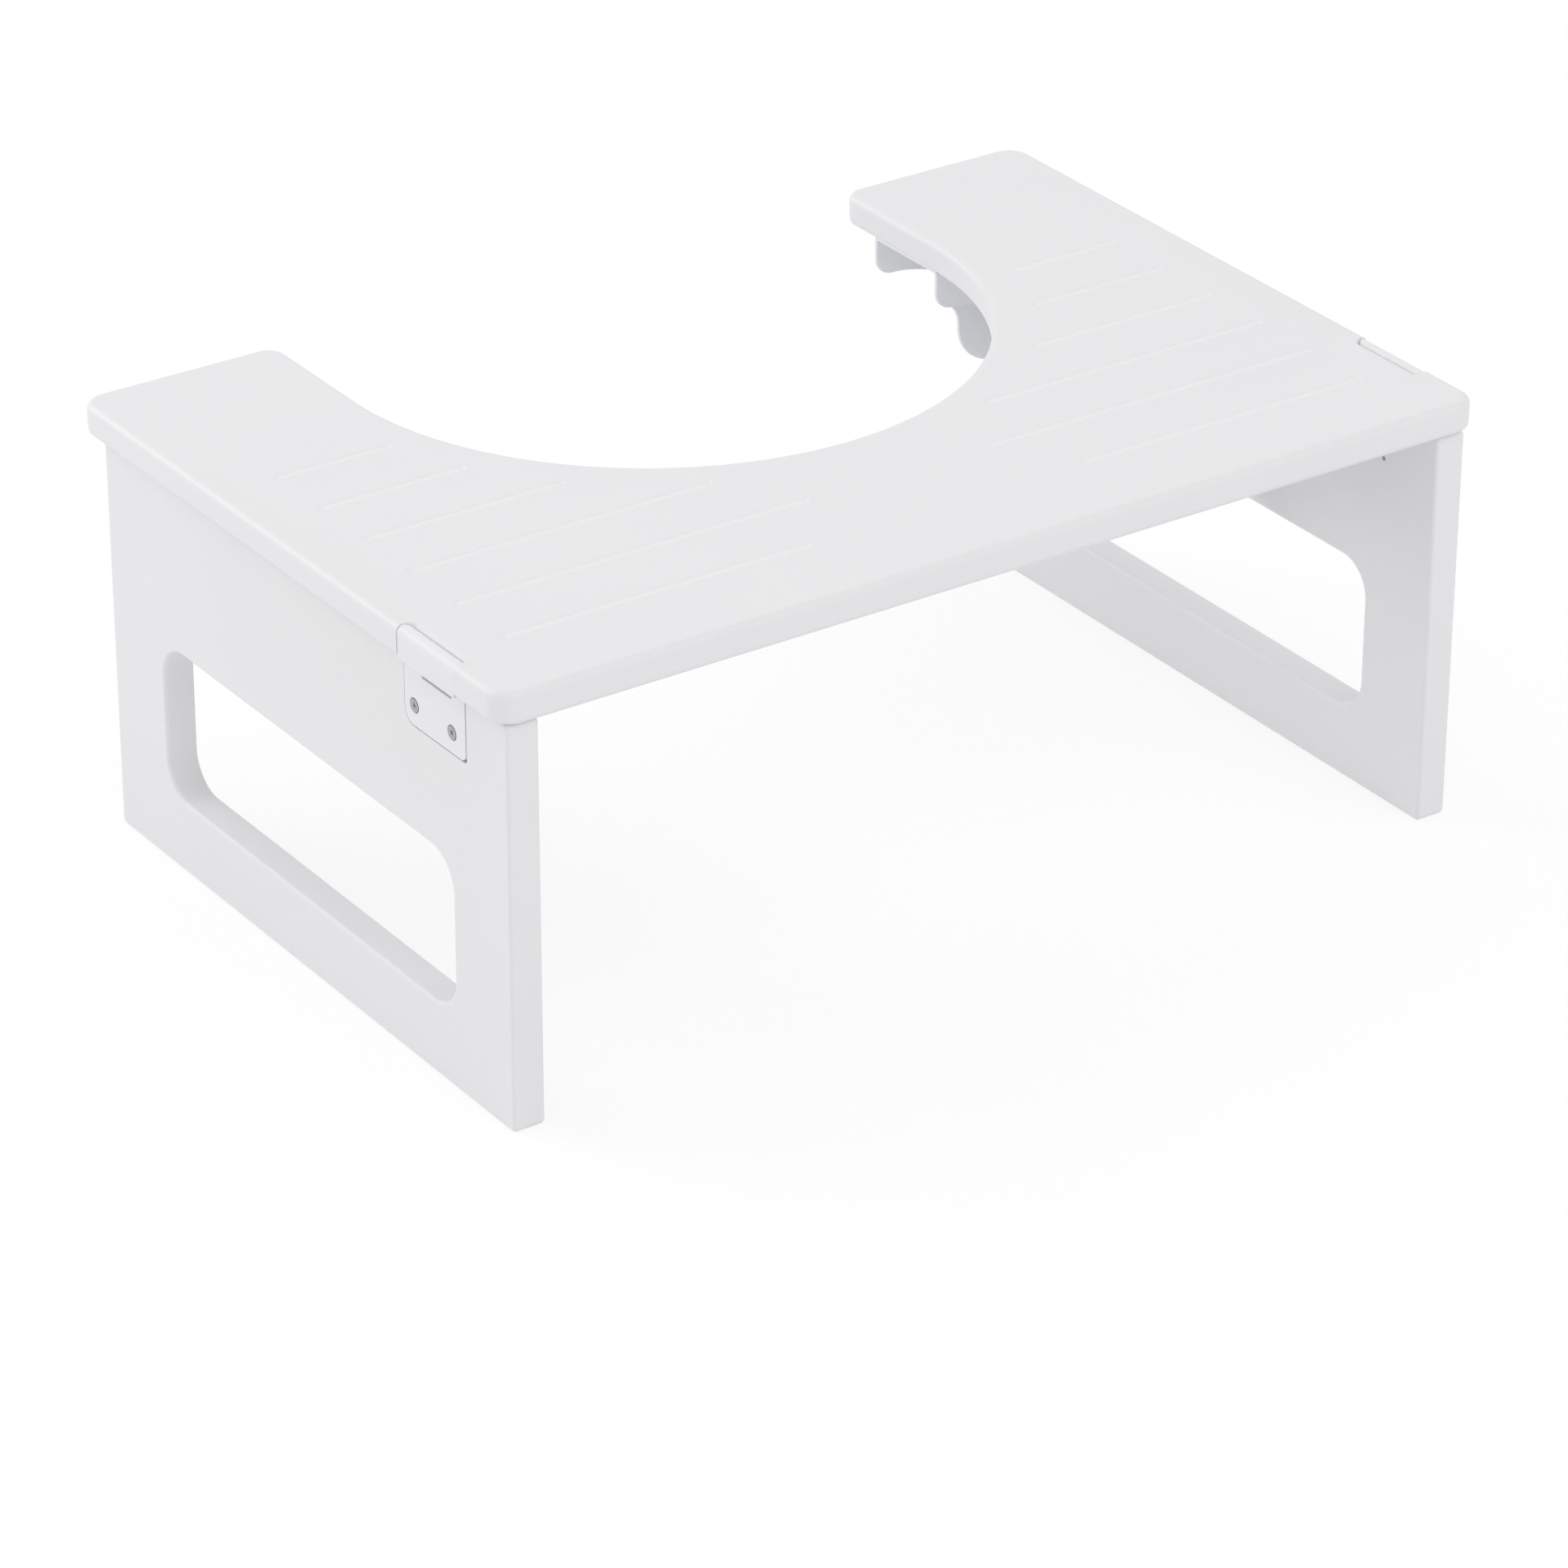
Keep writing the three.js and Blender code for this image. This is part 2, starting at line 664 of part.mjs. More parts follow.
// The curved slot that the lock bar rides in: a band along its path, round at the folded end
function camSlot() {
  const halfSlot = barDiameter / 2 + fitGap;
  const inner = [];
  const outer = [];
  let ahead = new THREE.Vector2();
  let place = barInLeg(0);
  for (let i = 0; i <= camSteps; i += 1) {
    place = barInLeg(foldAngle * i / camSteps);
    ahead = barInLeg(foldAngle * (i + 1) / camSteps).sub(place).normalize();
    inner.push(new THREE.Vector2(place.x - ahead.y * halfSlot, place.y + ahead.x * halfSlot));
    outer.unshift(new THREE.Vector2(place.x + ahead.y * halfSlot, place.y - ahead.x * halfSlot));
  }
  const start = Math.atan2(ahead.x, -ahead.y);
  const round = [];
  for (let i = 1; i < arcSteps; i += 1) {
    const angle = start - Math.PI * i / arcSteps;
    round.push(new THREE.Vector2(place.x + halfSlot * Math.cos(angle), place.y + halfSlot * Math.sin(angle)));
  }
  return new THREE.Shape([...inner, ...round, ...outer]);
}

function legChannel() {
  const section = channelSection(flangeOutside, 0, -legWebOutside - lobeRadius - cutOverrun);
  const along = toSolid(
    extrudeAlongZ(section, -legChannelDrop - cutOverrun, lobeRise + cutOverrun, bendSteps)
      .rotateZ(-Math.PI / 2).translate(legWebOutside, 0, 0),
  );
  const through = flangeOutside + cutOverrun;
  const outline = toSolid(extrudeAlongY(legChannelOutline(), -through, through, outlineSteps));
  let solid = along.intersect(outline);
  const rivetHole = circle(0, 0, rivetDiameter + 2 * fitGap);
  solid = solid.subtract(toSolid(extrudeAlongY(rivetHole, -through, through, roundSteps / 2)));
  const catchPlace = barInLeg(0);
  const catchHole = circle(catchPlace.x, catchPlace.y, catchDiameter);
  solid = solid.subtract(toSolid(extrudeAlongY(camSlot(), 0, through)));
  solid = solid.subtract(toSolid(extrudeAlongY(catchHole, 0, through, roundSteps / 2)));
  for (const drop of [legScrewNear, legScrewFar]) {
    solid = solid.subtract(toSolid(pointedOutward(screwHole()).translate(legWebInside, 0, -drop)));
  }
  return toGeometry(solid);
}

// Pivot rivet: a plain shank with a low head at each end
function pivotRivet() {
  const shank = rivetDiameter / 2;
  const head = rivetHeadDiameter / 2;
  const seat = flangeOutside + fitGap;
  const half = [
    new THREE.Vector2(shank, seat),
    new THREE.Vector2(head, seat),
    new THREE.Vector2(head, seat + rivetHeadHeight * headRimShare),
    new THREE.Vector2(head * headFlatShare, seat + rivetHeadHeight),
    new THREE.Vector2(0, seat + rivetHeadHeight),
  ];
  const other = half.map((point) => new THREE.Vector2(point.x, -point.y)).reverse();
  return toGeometry(toSolid(new THREE.LatheGeometry([...other, ...half], roundSteps)));
}

// Lock bar: a plain round bar with chamfered ends, from the plain flange out through the slotted one
function lockBar() {
  const radius = barDiameter / 2;
  const low = -halfChannel;
  const high = flangeOutside + barStandOut;
  const turned = new THREE.LatheGeometry([
    new THREE.Vector2(0, low),
    new THREE.Vector2(radius - barChamfer, low),
    new THREE.Vector2(radius, low + barChamfer),
    new THREE.Vector2(radius, high - barChamfer),
    new THREE.Vector2(radius - barChamfer, high),
    new THREE.Vector2(0, high),
  ], roundSteps);
  return toGeometry(toSolid(turned)).translate(-barInset, 0, barRise);
}

// Lock spring: an open compression spring between its seat and the lock bar
class SpringPath extends THREE.Curve {
  getPoint(share, target = new THREE.Vector3()) {
    const radius = (springOuterDiameter - springWire) / 2;
    const low = -springSeatDrop + fitGap + springWire / 2;
    const high = barRise - barDiameter / 2 - fitGap - springWire / 2;
    const angle = 2 * Math.PI * springTurns * share;
    return target.set(
      -barInset + radius * Math.cos(angle), radius * Math.sin(angle), low + (high - low) * share,
    );
  }
}

function lockSpring() {
  const wire = [];
  for (let i = 0; i < springSides; i += 1) {
    const angle = 2 * Math.PI * i / springSides;
    wire.push(new THREE.Vector2(Math.cos(angle), Math.sin(angle)).multiplyScalar(springWire / 2));
  }
  return new THREE.ExtrudeGeometry(new THREE.Shape(wire), {
    steps: springTurns * springStepsPerTurn,
    extrudePath: new SpringPath(),
  });
}

// The least gap between one curl's wire and the next, measured on points along the spring
function leastSpringGap() {
  const path = new SpringPath();
  const count = springTurns * springStepsPerTurn;
  const points = [];
  for (let i = 0; i <= count; i += 1) {
    points.push(path.getPoint(i / count));
  }
  let least = Infinity;
  for (let i = 0; i <= count; i += 1) {
    for (let j = i + springStepsPerTurn / 2; j <= count; j += 1) {
      least = Math.min(least, points[i].distanceTo(points[j]) - springWire);
    }
  }
  return least;
}

// The two brackets of a leg: the slotted flange of each faces the nearer end of the leg
function bracketPlaces() {
  return [
    { name: 'rear', y: backEdge - rearBracketInset, facing: 1 },
    { name: 'front', y: frontEdge + frontBracketInset, facing: -1 },
  ];
}

const stool = new THREE.Group();

function addPiece(name, geometry, material, x = 0, y = 0, z = 0) {
  const mesh = new THREE.Mesh(geometry, material);
  mesh.name = name;
  mesh.position.set(x, y, z);
  stool.add(mesh);
}

// A bracket at one place: every piece is turned to its side and facing, and set on the pivot
function addBracket(side, sideName, place) {
  const prefix = `${sideName}_${place.name}`;
  const x = side * pivotX;
  const set = (name, geometry, material) => {
    addPiece(`${prefix}_${name}`, reflected(geometry, side, place.facing), material, x, place.y, pivotZ);
  };
  set('table_channel', tableChannel(), coatedSteel());
  set('leg_channel', legChannel(), coatedSteel());
  set('pivot_rivet', pivotRivet(), bareSteel());
  set('lock_bar', lockBar(), bareSteel());
  set('lock_spring', lockSpring(), bareSteel());
  for (const [name, reach] of [['outer', tableScrewNear], ['inner', tableScrewFar]]) {
    set(`table_screw_${name}`, pointedUp(screwGeometry()).translate(-reach, 0, tableWebBottom), bareSteel());
  }
  for (const [name, drop] of [['upper', legScrewNear], ['lower', legScrewFar]]) {
    set(`leg_screw_${name}`, pointedOutward(screwGeometry()).translate(legWebInside, 0, -drop), bareSteel());
  }
}

// An edge clip at one side: the cap stays with the top, the plate goes with the leg
function addEdgeClip(side, sideName) {
  addPiece(`${sideName}_edge_cap`, reflected(edgeCap(), side, 1), whiteNylon());
  addPiece(`${sideName}_leg_plate`, reflected(legPlate(), side, 1), whiteNylon());
  const names = ['front', 'rear'];
  plateScrewPlaces().forEach((y, i) => {
    const screw = pointedInward(screwGeometry(plateScrewShare)).translate(legOuterFace, y, plateScrewHeight);
    addPiece(`${sideName}_plate_screw_${names[i]}`, reflected(screw, side, 1), bareSteel());
  });
}

addPiece('top_board', topBoard(), satinPaint());
for (const [side, sideName] of [[-1, 'left'], [1, 'right']]) {
  addPiece(`${sideName}_leg_board`, reflected(legBoard(), side, 1), satinPaint());
  for (const place of bracketPlaces()) {
    addBracket(side, sideName, place);
  }
  addEdgeClip(side, sideName);
}
console.log(`least gap of a lock spring to itself: ${leastSpringGap().toFixed(2)} mm`);

export default stool;
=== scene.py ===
"""Folding toilet footstool. Metres, +Z up; the straight front edge faces -Y, the cut-out +Y."""

import math

import bpy
import numpy as np
from mathutils import Matrix, Vector
from mathutils.geometry import delaunay_2d_cdt


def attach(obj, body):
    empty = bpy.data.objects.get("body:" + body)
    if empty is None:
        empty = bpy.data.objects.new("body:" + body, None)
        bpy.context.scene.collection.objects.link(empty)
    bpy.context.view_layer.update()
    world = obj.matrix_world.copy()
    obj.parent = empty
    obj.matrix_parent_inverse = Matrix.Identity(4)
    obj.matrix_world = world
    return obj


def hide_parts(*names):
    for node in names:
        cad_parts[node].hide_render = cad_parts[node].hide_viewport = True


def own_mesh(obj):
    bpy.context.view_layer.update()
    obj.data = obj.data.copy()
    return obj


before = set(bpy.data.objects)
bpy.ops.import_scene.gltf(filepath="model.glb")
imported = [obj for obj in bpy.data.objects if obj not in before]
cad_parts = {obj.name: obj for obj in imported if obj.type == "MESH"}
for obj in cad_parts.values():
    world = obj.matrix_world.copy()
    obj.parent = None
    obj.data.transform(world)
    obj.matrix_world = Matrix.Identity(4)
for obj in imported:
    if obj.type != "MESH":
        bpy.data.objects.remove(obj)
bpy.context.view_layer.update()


# Top board: one flat board with a deep U cut out of its back edge, and twelve shallow grooves in
# its face. The outline is routed and rounded over, the grooves are run with a round-nosed cutter,
# and the whole board is sprayed satin white.
top_width = 0.438
top_depth = 0.2975
top_thickness = 0.013
stool_height = 0.178
top_edge_round = 0.003
outer_corner = 0.010
tip_corner = 0.008
cutout_radius = 0.1325
cutout_inset = 0.06025
half_width = top_width / 2
half_depth = top_depth / 2
underside = stool_height - top_thickness
cutout_centre = half_depth - cutout_inset

groove_rows = 6
groove_pitch = 0.03115
first_groove_inset = 0.03985
groove_side_inset = 0.0253
groove_rim_margin = 0.016
groove_starts = (0.0604, 0.040)
groove_half_width = 0.0023
groove_end_inset = 0.002
groove_depth = 0.0004
groove_end_depth = 0.0008
groove_end_steps = (0.0008, 0.0016, 0.0024)
groove_rings = 7
groove_ring_spread = 1.1

paint_white = (0.800, 0.800, 0.812, 1)
paint_shadow_white = (0.775, 0.776, 0.792, 1)
paint_edge_tone = (0.745, 0.742, 0.740, 1)
# Painted highlight: a lighter white coloured into the grooves of the top face, standing in for the light
# they catch.
paint_groove_highlight_white = (0.826, 0.826, 0.837, 1)
cloud_scale = 14
wave_scale = 45
wave_strength = 0.25
wave_to_grain = 3
grain_strength = 0.35
scuff_scale = 260
edge_wear = 0.45
sheen_below, sheen_above = 0.04, 0.05
edge_gain, edge_threshold = 1.3, 0.3


def arc(centre_x, centre_y, radius, start, stop, steps):
    """Points along an arc, from one angle to another in degrees."""
    angles = [math.radians(start + (stop - start) * i / steps) for i in range(steps + 1)]
    return [(centre_x + radius * math.cos(a), centre_y + radius * math.sin(a)) for a in angles]


def round_corners(low_x, low_y, high_x, high_y, radii, steps=10):
    """A rectangle, anticlockwise from its low left corner, with a radius for each corner."""
    low_left, low_right, high_right, high_left = radii
    return (arc(low_x + low_left, low_y + low_left, low_left, 180, 270, steps)
            + arc(high_x - low_right, low_y + low_right, low_right, 270, 360, steps)
            + arc(high_x - high_right, high_y - high_right, high_right, 0, 90, steps)
            + arc(low_x + high_left, high_y - high_left, high_left, 90, 180, steps))


def inset_loop(loop, distance):
    """The loop moved into the material, which lies to its left."""
    points = np.array(loop)
    ahead = np.roll(points, -1, axis=0) - points
    ahead /= np.linalg.norm(ahead, axis=1)[:, None]
    inward = np.stack([-ahead[:, 1], ahead[:, 0]], axis=1)
    mean = inward + np.roll(inward, 1, axis=0)
    mean /= np.sum(mean * inward, axis=1)[:, None]
    return points + mean * distance


def inside(point, loop):
    """Whether a point lies within a loop."""
    x, y = point
    crossings = 0
    for (x0, y0), (x1, y1) in zip(loop, loop[1:] + loop[:1]):
        if (y0 > y) != (y1 > y) and x < x0 + (y - y0) * (x1 - x0) / (y1 - y0):
            crossings += 1
    return crossings % 2 == 1


def quarter_round(radius, steps):
    """How far a rounded edge stands in and has risen, from the face to its outermost line."""
    turns = [math.pi / 2 * i / steps for i in range(steps + 1)]
    return [(radius * (1 - math.sin(turn)), radius * (1 - math.cos(turn))) for turn in turns]


def slab(outline, holes, low, high, edge_round, steps=6, creases=(), relief=None):
    """A board between two heights with every edge rounded. The outline runs anticlockwise and the
    holes clockwise. The flat faces are divided along the creases, and relief lowers the upper one."""
    loops = [outline, *holes]
    rounded = quarter_round(edge_round, steps)
    levels = ([(inset, low + rise) for inset, rise in rounded]
              + [(inset, high - rise) for inset, rise in reversed(rounded)])

    points, lines, firsts = [], [], []
    for loop in loops:
        firsts.append(len(points))
        points += [tuple(p) for p in inset_loop(loop, edge_round)]
        lines += [(firsts[-1] + i, firsts[-1] + (i + 1) % len(loop)) for i in range(len(loop))]
    for crease in creases:
        first = len(points)
        points += crease
        lines += [(first + i, first + i + 1) for i in range(len(crease) - 1)]
    only_inside, weld = 1, 1e-7
    placed, _, triangles, origins, _, _ = delaunay_2d_cdt(
        [Vector(p) for p in points], lines, [], only_inside, weld, True)
    where = {old: new for new, olds in enumerate(origins) for old in olds}
    rims = [[points[i] for i in range(first, first + len(loop))] for first, loop in zip(firsts, loops)]

    count = len(placed)
    verts = [(p.x, p.y, low) for p in placed]
    verts += [(p.x, p.y, high - (relief(p.x, p.y) if relief else 0)) for p in placed]
    faces = []
    for triangle in triangles:
        middle = sum((placed[i] for i in triangle), Vector((0, 0))) / 3
        if inside(middle, rims[0]) and not any(inside(middle, rim) for rim in rims[1:]):
            faces.append(tuple(reversed(triangle)))
            faces.append(tuple(i + count for i in triangle))
    for first, loop in zip(firsts, loops):
        size = len(loop)
        below = [where[first + i] for i in range(size)]
        for number, (inset, height) in enumerate(levels[1:], 1):
            if number == len(levels) - 1:
                above = [where[first + i] + count for i in range(size)]
            else:
                above = list(range(len(verts), len(verts) + size))
                verts += [(x, y, height) for x, y in inset_loop(loop, inset)]
            faces += [(below[i], below[(i + 1) % size], above[(i + 1) % size], above[i])
                      for i in range(size)]
            below = above
    return verts, faces


def into_scene(name, data):
    """An object in the scene."""
    made = bpy.data.objects.new(name, data)
    bpy.context.scene.collection.objects.link(made)
    return made


def new_piece(name, *shells):
    """An object from closed shells of vertices and faces."""
    verts, faces = [], []
    for shell_verts, shell_faces in shells:
        first = len(verts)
        verts += [tuple(v) for v in shell_verts]
        faces += [tuple(i + first for i in face) for face in shell_faces]
    mesh = bpy.data.meshes.new(name)
    mesh.from_pydata(verts, [], faces)
    return into_scene(name, mesh)


def settle(piece):
    """Turns what the piece's modifiers make into its plain mesh."""
    graph = bpy.context.evaluated_depsgraph_get()
    mesh = bpy.data.meshes.new_from_object(piece.evaluated_get(graph), preserve_all_data_layers=True,
                                           depsgraph=graph)
    mesh.name = piece.name
    piece.modifiers.clear()
    piece.data = mesh


def carve(piece, *cutters):
    """Takes the cutters out of the piece."""
    for cutter in cutters:
        cut = piece.modifiers.new("cut", "BOOLEAN")
        cut.operation = "DIFFERENCE"
        cut.solver = "EXACT"
        cut.object = cutter
    settle(piece)
    for cutter in cutters:
        bpy.data.objects.remove(cutter)


def smooth(piece, sharp_angle=38):
    """Shades the rounded edges smoothly and keeps the flats flat."""
    piece.data.shade_smooth()
    piece.data.set_sharp_from_angle(angle=math.radians(sharp_angle))
    weighted = piece.modifiers.new("weighted", "WEIGHTED_NORMAL")
    weighted.weight = 90
    weighted.keep_sharp = True
    settle(piece)


def coat(piece, axis, material):
    """Smooths the piece and gives it its finish. The edges of a board that lies across the axis are
    marked where the finish goes round them: 0 on a face, 1 halfway round."""
    smooth(piece)
    mesh = piece.data
    normals = np.empty(len(mesh.vertices) * 3)
    mesh.vertices.foreach_get("normal", normals)
    lean = np.clip(np.abs(normals.reshape(-1, 3)[:, axis]), 0, 1)
    mark = np.clip(2 * lean * np.sqrt(1 - lean * lean) * edge_gain - edge_threshold, 0, 1)
    mesh.attributes.new("edge", "FLOAT", "POINT").data.foreach_set("value", mark)
    mesh.materials.append(material)


def fill(tree, node, inputs):
    """Sets a value or makes a link for each of the node's inputs."""
    for name, value in inputs.items():
        if isinstance(value, bpy.types.NodeSocket):
            tree.links.new(value, node.inputs[name])
        else:
            node.inputs[name].default_value = value


def add_node(tree, kind, inputs=None, **settings):
    """Adds a node, with its settings and with values or links for its inputs."""
    made = tree.nodes.new(kind)
    for name, value in settings.items():
        setattr(made, name, value)
    fill(tree, made, inputs or {})
    return made


def calculate(tree, operation, first, second=0.0):
    """One sum on sockets or numbers."""
    return add_node(tree, "ShaderNodeMath", {0: first, 1: second}, operation=operation).outputs[0]


def noise(tree, coordinates, scale, detail=3):
    """A cloudy pattern."""
    return add_node(tree, "ShaderNodeTexNoise", {
        "Vector": coordinates, "Scale": scale, "Detail": detail}).outputs["Fac"]


def mix(tree, share, first, second):
    """Two colours, mixed by a share."""
    return add_node(tree, "ShaderNodeMix", {
        "Factor": share, "A": first, "B": second}, data_type="RGBA").outputs["Result"]


def between(tree, pattern, low, high):
    """A pattern's values brought between two limits."""
    return add_node(tree, "ShaderNodeMapRange", {
        "Value": pattern, "To Min": low, "To Max": high}).outputs["Result"]


def marked(tree, name):
    """A value marked on the piece's points."""
    return add_node(tree, "ShaderNodeAttribute", attribute_name=name).outputs["Fac"]


def bump(tree, pattern, strength, distance, under=None):
    """A relief made from a pattern, over another one where that is given."""
    made = add_node(tree, "ShaderNodeBump", {
        "Height": pattern, "Strength": strength, "Distance": distance})
    if under is not None:
        tree.links.new(under, made.inputs["Normal"])
    return made.outputs["Normal"]


def finish_material(name, roughness, metallic=0, specular=0.5):
    """A material with its shader, and the coordinates that its pattern is made in."""
    material = bpy.data.materials.new(name)
    material.use_nodes = True
    tree = material.node_tree
    shader = tree.nodes["Principled BSDF"]
    fill(tree, shader, {"Roughness": roughness, "Metallic": metallic, "Specular IOR Level": specular})
    return material, tree, shader, add_node(tree, "ShaderNodeTexCoord").outputs["Object"]


def sprayed(name, light_tone, dark_tone, edge_tone, roughness, grain, grain_height, groove_highlight_tone=None):
    """Sprayed or moulded white: faint clouds of tone, a fine grain, and rubbed edges. Where a groove
    tone is given, the grooves are coloured in it, a painted highlight that makes them lighter."""
    material, tree, shader, coordinates = finish_material(name, roughness)
    scuffs = noise(tree, coordinates, scuff_scale, detail=4)
    rubbed = calculate(tree, "MULTIPLY", marked(tree, "edge"), scuffs)
    tone = mix(tree, noise(tree, coordinates, cloud_scale), dark_tone, light_tone)
    colour = mix(tree, calculate(tree, "MULTIPLY", rubbed, edge_wear), tone, edge_tone)
    # Painted highlight: the grooves are coloured lighter, by how deep each point lies in one.
    if groove_highlight_tone:
        colour = mix(tree, marked(tree, "painted_groove_highlight"), colour, groove_highlight_tone)
    waves = bump(tree, noise(tree, coordinates, wave_scale, detail=1), wave_strength,
                 grain_height * wave_to_grain)
    fill(tree, shader, {
        "Base Color": colour,
        "Roughness": between(tree, scuffs, roughness - sheen_below, roughness + sheen_above),
        "Normal": bump(tree, noise(tree, coordinates, grain), grain_strength, grain_height, waves)})
    return material


def groove_rows_of_one_side():
    """Each row's height on the board, and where its middle line starts and ends."""
    rows = []
    reach = cutout_radius + groove_rim_margin
    for row in range(groove_rows):
        y = -half_depth + first_groove_inset + row * groove_pitch
        across = math.sqrt(max(0, reach ** 2 - (y - cutout_centre) ** 2))
        start = groove_starts[row] if row < 2 else max(groove_starts[1], across)
        rows.append((y, start + groove_end_inset, half_width - groove_side_inset - groove_end_inset))
    return rows


def sunk(depth, distance):
    """How low the face lies at some distance from the deepest place, with a soft lip."""
    return depth * math.cos(min(distance / groove_half_width, 1) * math.pi / 2) ** 2


def groove_relief(x, y):
    """How far a groove lowers the face at a point. It is deeper where the cutter went in and out."""
    relief = 0
    for row, start, end in groove_rows_of_one_side():
        off_line = math.hypot(max(start - abs(x), 0, abs(x) - end), y - row)
        off_end = math.hypot(min(abs(abs(x) - start), abs(abs(x) - end)), y - row)
        relief = max(relief, sunk(groove_depth, off_line), sunk(groove_end_depth, off_end))
    return relief


def along_groove(start, end, y):
    """Points from a groove's start to its end, closer together near both."""
    near_start = [start + step for step in groove_end_steps]
    near_end = [end - step for step in reversed(groove_end_steps)]
    return [(x, y) for x in [start, *near_start, *near_end, end]]


def groove_lines():
    """Rings round each groove, where the face is divided so that it can follow the groove."""
    lines = []
    for row, start, end in groove_rows_of_one_side():
        for side in (1, -1):
            lines.append([(side * x, y) for x, y in along_groove(start, end, row)])
            for ring in range(1, groove_rings + 1):
                radius = groove_half_width * groove_ring_spread * ring / groove_rings
                loop = (arc(end, row, radius, -90, 90, 14)
                        + along_groove(start, end, row + radius)[-2:0:-1]
                        + arc(start, row, radius, 90, 270, 14)
                        + along_groove(start, end, row - radius)[1:-1])
                lines.append([(side * x, y) for x, y in loop + loop[:1]])
    return lines


side_centre = half_width - outer_corner
tip_centre = cutout_radius + tip_corner
top_outline = (arc(side_centre, -half_depth + outer_corner, outer_corner, -90, 0, 14)
               + arc(side_centre, half_depth - outer_corner, outer_corner, 0, 90, 14)
               + arc(tip_centre, half_depth - tip_corner, tip_corner, 90, 180, 14)
               + arc(0, cutout_centre, cutout_radius, 0, -180, 120)
               + arc(-tip_centre, half_depth - tip_corner, tip_corner, 0, 90, 14)
               + arc(-side_centre, half_depth - outer_corner, outer_corner, 90, 180, 14)
               + arc(-side_centre, -half_depth + outer_corner, outer_corner, 180, 270, 14))
top = new_piece("grooved_top", slab(top_outline, [], underside, stool_height, top_edge_round, 8,
                                    groove_lines(), groove_relief))

# The notch in each side edge, for the edge cap: its inner wall is eased where it meets the faces,
# and a pocket behind it takes the cap's tongue.
cap_front = -half_depth + 0.03075
cap_length = 0.0375
cap_rear = cap_front + cap_length
cap_outer = half_width - 0.0003
cap_wall = 0.0052
cap_inner = cap_outer - cap_wall
notch_wall = cap_inner - 0.0003
fit_gap = 0.0003
cap_rear_gap = 0.0001
notch_corner = 0.0039
notch_ease = 0.0029
cut_corner = 0.0004
cut_overrun = 0.002
notch_overrun = 0.006
tongue_length = 0.026
tongue_reach = 0.006
tongue_height = 0.003
tongue_rise = 0.002


def stacked(sections):
    """A closed shell through sections with the same number of points."""
    size = len(sections[0])
    verts = [point for section in sections for point in section]
    faces = []
    for first in range(0, len(verts) - size, size):
        for i in range(size):
            a, b = first + i, first + (i + 1) % size
            faces.append((a, b, b + size, a + size))
    return verts, faces + [tuple(reversed(range(size))), tuple(range(len(verts) - size, len(verts)))]


def turned_out(faces):
    """The faces seen from their other side."""
    return [tuple(reversed(face)) for face in faces]


def eased_cutter(loop, low, high, ease):
    """A cutter whose inner wall flares where it leaves the faces, so that it rounds the cut's edges."""
    levels = [(ease, low - cut_overrun)] + [(out, low + rise) for out, rise in quarter_round(ease, 5)]
    levels += [(out, low + high - height) for out, height in reversed(levels)]
    return stacked([[(x, y, height) for (x, _), (_, y) in zip(inset_loop(loop, -out), loop)]
                    for out, height in levels])


def box_shell(low, high):
    """A plain box, for pockets that are cut and tongues that are out of sight."""
    verts = [(x, y, z) for z in (low[2], high[2]) for y in (low[1], high[1]) for x in (low[0], high[0])]
    return verts, [(0, 2, 3, 1), (4, 5, 7, 6), (0, 1, 5, 4), (2, 6, 7, 3), (0, 4, 6, 2), (1, 3, 7, 5)]


def mirrored(shell, side):
    """A shell made for the right-hand side, on either side."""
    verts, faces = shell
    return shell if side > 0 else ([(-x, y, z) for x, y, z in verts], turned_out(faces))


tongue_middle = (cap_front + cap_rear) / 2
for side in (-1, 1):
    notch_plan = round_corners(notch_wall, cap_front - fit_gap, half_width + notch_overrun,
                               cap_rear + cap_rear_gap, (cut_corner,) * 3 + (notch_corner,))
    notch_cut = eased_cutter(notch_plan, underside, stool_height, notch_ease)
    notch = new_piece("notch", mirrored(notch_cut, side))
    pocket = new_piece("pocket", mirrored(box_shell(
        (notch_wall - tongue_reach - fit_gap, tongue_middle - tongue_length / 2 - fit_gap,
         underside + tongue_rise - fit_gap),
        (notch_wall + fit_gap, tongue_middle + tongue_length / 2 + fit_gap,
         underside + tongue_rise + tongue_height + fit_gap)), side))
    carve(top, notch, pocket)
satin_paint = sprayed("satin_white_paint", paint_white, paint_shadow_white, paint_edge_tone,
                      roughness=0.40, grain=1100, grain_height=0.00003, groove_highlight_tone=paint_groove_highlight_white)
coat(top, 2, satin_paint)
# Painted highlight: how deep each point of the top face lies in a groove, so that the grooves can be
# coloured lighter.
face_low = stool_height - groove_depth - fit_gap
groove_highlight_share = [groove_relief(v.co.x, v.co.y) / groove_depth if v.co.z > face_low else 0
              for v in top.data.vertices]
top.data.attributes.new("painted_groove_highlight", "FLOAT", "POINT").data.foreach_set("value", groove_highlight_share)
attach(top, "stool_top")
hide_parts("top_board")


# Leg boards: one flat board to each side, with a long window that saves weight and serves as a
# hand hold. Sawn and rounded over like the top and sprayed the same white; the folding brackets
# are screwed to the inner face.
sides = ((-1, "left"), (1, "right"))
leg_thickness = 0.0133
leg_outer = half_width - 0.0045
leg_inner = leg_outer - leg_thickness
leg_front = -half_depth + 0.00275
leg_back = half_depth - 0.01125
leg_top = underside - fit_gap
leg_edge_round = 0.0016
leg_corner = 0.0022
window_length = 0.206
window_sill = 0.0305
window_top = 0.0945
window_corner = 0.0145
leg_middle = (leg_front + leg_back) / 2

